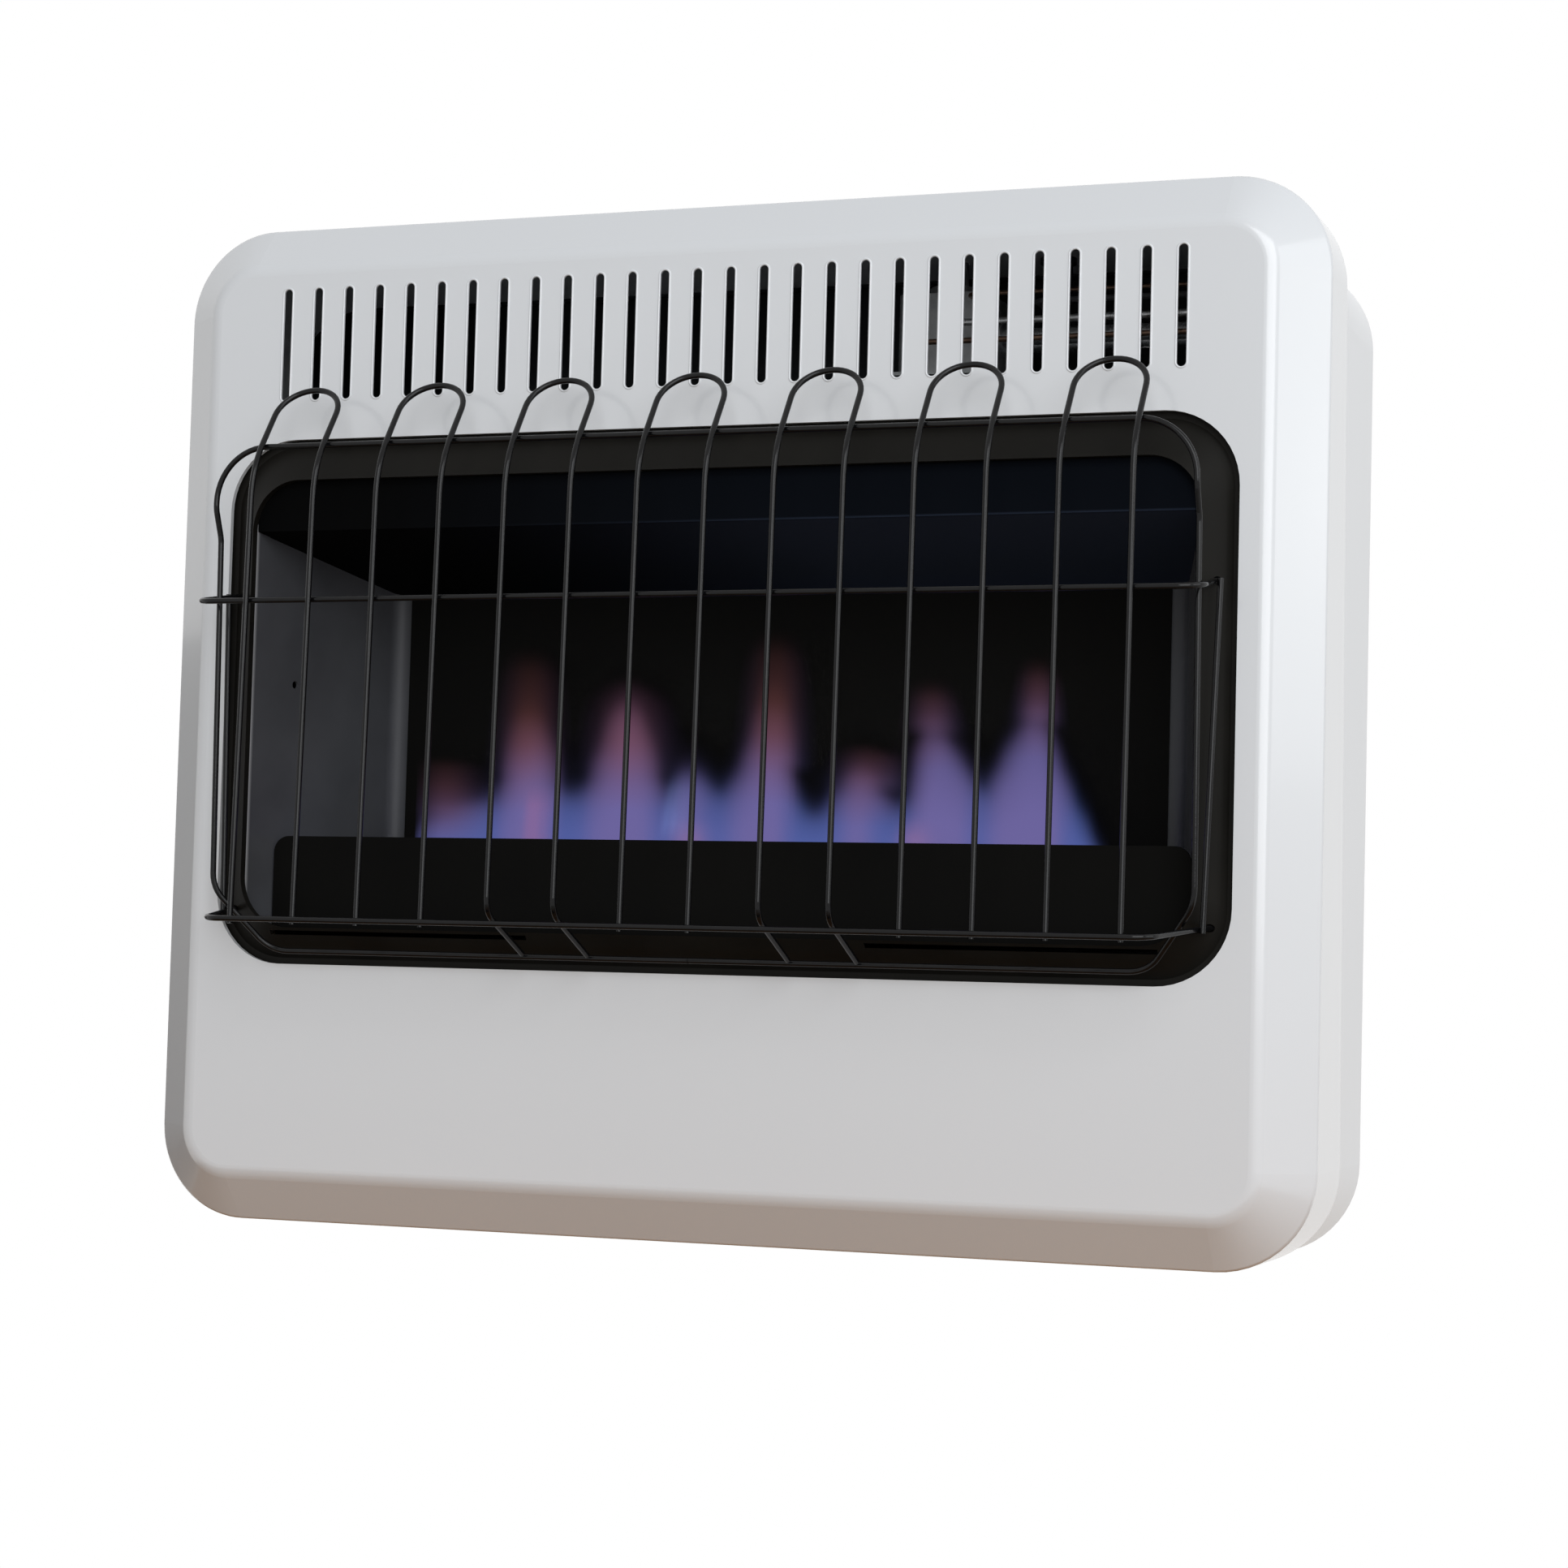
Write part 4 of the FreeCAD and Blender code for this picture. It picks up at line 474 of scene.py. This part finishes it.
# Each curtain: set back from the burner's middle, shift along it, height, body.
CURTAINS = ((0.0, 0.0, 1.0, 0.28), (-0.008, 0.002, 0.98, 0.24), (0.008, -0.002, 0.96, 0.24))


def clamp(value):
    return max(0.0, min(1.0, value))


def flame_edge(x):
    """Height of the flames' upper edge, eased from each of its places to the next."""
    for (left, low), (right, high) in zip(FLAME_EDGE, FLAME_EDGE[1:]):
        if x <= right:
            share = clamp((x - left) / (right - left))
            return low + (high - low) * share * share * (3 - 2 * share)
    return FLAME_EDGE[-1][1]


def flame_height(x):
    """Height of the curtain, which leaves room for the edge and the tips to fade out inside it."""
    height = max(flame_edge(x + step) for step in SOFTENING) + EDGE_ROOM
    for place, half, start, top, veil, tint in TIPS:
        height = max(height, top * math.exp(-((x - place) / (TIP_SPREAD * half)) ** TIP_FLATNESS))
    return height


def flame_at(x, rise):
    """Body and colour of the flame at a place along the burner and a rise over it."""
    edges = [flame_edge(x + step) for step in SOFTENING]
    body = sum(1 / (1 + math.exp((rise + EDGE_DROP - edge) / EDGE_FADE)) for edge in edges) / len(edges)
    body *= 1 - DIM_BY * clamp((rise / flame_edge(x) - DIM_FROM) / (1 - DIM_FROM))
    colour = BLUE.lerp(LILAC, clamp((flame_edge(x) - LILAC_FROM) / LILAC_RANGE))
    for place, half, start, top, veil, tint in TIPS:
        near = math.exp(-((x - place) / half) ** 2)
        reddened = near ** REDDEN_SPREAD
        colour = colour.lerp(MAUVE, reddened * clamp((rise - start + REDDEN_EARLY) / REDDEN_RANGE))
        colour = colour.lerp(tint, reddened * clamp((rise - start) / REDDEN_RANGE))
        glow_left = clamp((rise - start) / VEIL_START) * clamp((top - rise) / (top - start))
        body = 1 - (1 - body) * (1 - veil * near * glow_left)
    for place, half, lean, lower, upper, tint in STREAKS:
        near = math.exp(-((x - place - lean * rise) / half) ** 2)
        lit = clamp((rise - lower) / STREAK_FOOT) * clamp((upper - rise) / STREAK_TIP)
        colour = colour.lerp(tint, STREAK_SHARE * near * lit)
    return body * clamp((x - FLAME_LEFT) / END_FADE) * clamp((FLAME_RIGHT - x) / END_FADE), colour


glow, glow_tree, glow_shader = start_finish("flame_glow", (0, 0, 0), 1.0)
glow_shader.inputs["Specular IOR Level"].default_value = 0.0
glow_shader.inputs["Emission Strength"].default_value = 1.15
GLOW_LINKS = (("flame_colour", "Color", "Emission Color"), ("flame_body", "Fac", "Alpha"))
for attribute_name, output, socket in GLOW_LINKS:
    reader = glow_tree.nodes.new("ShaderNodeAttribute")
    reader.attribute_name = attribute_name
    glow_tree.links.new(reader.outputs[output], glow_shader.inputs[socket])
for number, (back, shift, scale, body) in enumerate(CURTAINS):
    bpy.ops.object.select_all(action="DESELECT")
    bpy.ops.mesh.primitive_grid_add(x_subdivisions=COLUMNS, y_subdivisions=ROWS, size=1)
    curtain = bpy.context.object
    curtain.name = f"flame_curtain_{number + 1}"
    points = []
    for vertex in curtain.data.vertices:
        across = vertex.co.x + 0.5
        share = vertex.co.y + 0.5
        x = FLAME_LEFT + (FLAME_RIGHT - FLAME_LEFT) * across
        rise = flame_height(x + shift) * share
        bulge = FLAME_THICK * math.sqrt(max(0.0, 1 - share)) * math.sin(math.pi * across) ** END_ROUND
        vertex.co = (x, burner_y + back - bulge, FLAME_FOOT + rise * scale)
        density, colour = flame_at(x + shift, rise)
        points.append((colour, body * density * min(1.0, TOP_FADE * (1 - share))))
    colours = curtain.data.attributes.new("flame_colour", "FLOAT_COLOR", "POINT")
    colours.data.foreach_set("color", [part for colour, value in points for part in (*colour, 1.0)])
    bodies = curtain.data.attributes.new("flame_body", "FLOAT", "POINT")
    bodies.data.foreach_set("value", [value for colour, value in points])
    bpy.ops.object.mode_set(mode="EDIT")
    bpy.ops.mesh.select_all(action="SELECT")
    bpy.ops.mesh.duplicate()
    bpy.ops.transform.resize(value=(1, -1, 1), center_override=(0, burner_y + back, 0))
    bpy.ops.mesh.select_all(action="SELECT")
    bpy.ops.mesh.remove_doubles(threshold=SEAM_GAP)
    bpy.ops.mesh.normals_make_consistent(inside=False)
    bpy.ops.object.mode_set(mode="OBJECT")
    bpy.ops.object.shade_smooth()
    curtain.data.materials.append(glow)
    curtain.visible_shadow = False
    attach(curtain, "heater")

# Floor: a plain, pale, warm floor well below the wall-hung heater,
# out of the picture, that throws a soft light up under it.
FLOOR_Z = -1.0
bpy.ops.object.select_all(action="DESELECT")
bpy.ops.mesh.primitive_grid_add(x_subdivisions=8, y_subdivisions=8, size=3.4, location=(0, -0.1, FLOOR_Z))
floor = bpy.context.object
floor.name = "floor"
floor_finish, floor_tree, floor_shader = start_finish("pale_floor", (0.62, 0.57, 0.50), 0.7)
colour_by(floor_tree, floor_shader, grain(floor_tree, 2.0),
          [(0.3, (0.60, 0.55, 0.48)), (0.7, (0.64, 0.59, 0.52))])
floor.data.materials.append(floor_finish)


# Cards: a wood-brown card below warms the cover's lower bevel, and one at the left, pale above and
# dark below, shades its left bevel downwards. The camera sees them only as reflections,
# and they throw no shadow.
def stage_card(name, width, height, place, turn, colour, lower_colour):
    bpy.ops.object.select_all(action="DESELECT")
    bpy.ops.mesh.primitive_plane_add(size=1, location=place, rotation=turn)
    card = bpy.context.object
    card.name = name
    card.scale = (width, height, 1)
    card.visible_camera = False
    card.visible_shadow = False
    finish, tree, shader = start_finish(name + "_finish", colour, 0.8)
    colour_by(tree, shader, grain(tree, 3.0), [(0.3, tuple(part * 0.9 for part in colour)), (0.7, colour)])
    blend_to(tree, shader, share_along(tree, "Y", 0.5, -0.2), lower_colour)
    card.data.materials.append(finish)


WOOD = (0.42, 0.20, 0.05)
CARD_PALE = (0.92, 0.91, 0.90)
CARD_DARK = (0.02, 0.018, 0.016)
CARD_TURN = (math.pi / 2, 0, math.radians(-50))
stage_card("wood_card", 1.2, 0.5, (0.10, -0.22, -0.38), (0, 0, 0), WOOD, WOOD)
stage_card("shade_card", 1.5, 0.8, (-1.45, 0.50, -0.27), CARD_TURN, CARD_PALE, CARD_DARK)


# Light: a large soft lamp far off at the right in front, a nearer one beside the heater like a window
# with two bright panes, and a pale room all round that shows white behind it.
def soft_lamp(name, place, size, power, colour):
    lamp = bpy.data.lights.new(name, "AREA")
    lamp.shape = "SQUARE"
    lamp.size = size
    lamp.energy = power
    lamp.color = colour
    holder = bpy.data.objects.new(name, lamp)
    holder.location = place
    holder.rotation_euler = (-Vector(place)).to_track_quat("-Z", "Y").to_euler()
    bpy.context.scene.collection.objects.link(holder)


soft_lamp("main_light", (2.7, -5.0, 2.1), 4.6, 240, (0.95, 0.975, 1.0))
soft_lamp("window", (2.6, -0.55, 0.9), 1.6, 14, (0.94, 0.975, 1.0))
soft_lamp("lower_pane", (2.6, -0.95, 0.49), 0.2, 0.9, (1.0, 1.0, 1.0))
soft_lamp("upper_pane", (2.6, -0.95, 0.82), 0.13, 0.4, (1.0, 1.0, 1.0))
ROOM_LIGHT = 0.24
world = bpy.data.worlds.new("room")
bpy.context.scene.world = world
world.use_nodes = True
room = world.node_tree
rays = room.nodes.new("ShaderNodeLightPath")
shows = rays.outputs["Is Camera Ray"]
for ray in ("Is Glossy Ray", "Is Transmission Ray"):
    either = room.nodes.new("ShaderNodeMath")
    either.operation = "MAXIMUM"
    room.links.new(shows, either.inputs[0])
    room.links.new(rays.outputs[ray], either.inputs[1])
    shows = either.outputs["Value"]
strength = room.nodes.new("ShaderNodeMapRange")
strength.inputs["To Min"].default_value = ROOM_LIGHT
strength.inputs["To Max"].default_value = 1.0
room.links.new(shows, strength.inputs["Value"])
room.nodes["Background"].inputs["Color"].default_value = (1, 1, 1, 1)
room.links.new(strength.outputs["Result"], room.nodes["Background"].inputs["Strength"])
bpy.context.scene.view_settings.view_transform = "Standard"

# Camera: low and to the right of the heater, looking slightly up at it,
# held a little turned, with a long lens.
CAMERA_PLACE = (0.6565, -1.8141, -0.1414)
CAMERA_LEFT = math.radians(20.08)
CAMERA_UP = math.radians(3.40)
CAMERA_ROLL = math.radians(1.54)
camera = bpy.data.cameras.new("camera")
camera.sensor_width = 36.0
camera.lens = 76.66
camera_holder = bpy.data.objects.new("camera", camera)
camera_holder.matrix_world = (Matrix.Translation(CAMERA_PLACE) @ Matrix.Rotation(CAMERA_LEFT, 4, "Z")
                              @ Matrix.Rotation(math.pi / 2 + CAMERA_UP, 4, "X")
                              @ Matrix.Rotation(CAMERA_ROLL, 4, "Z"))
bpy.context.scene.collection.objects.link(camera_holder)
bpy.context.scene.camera = camera_holder
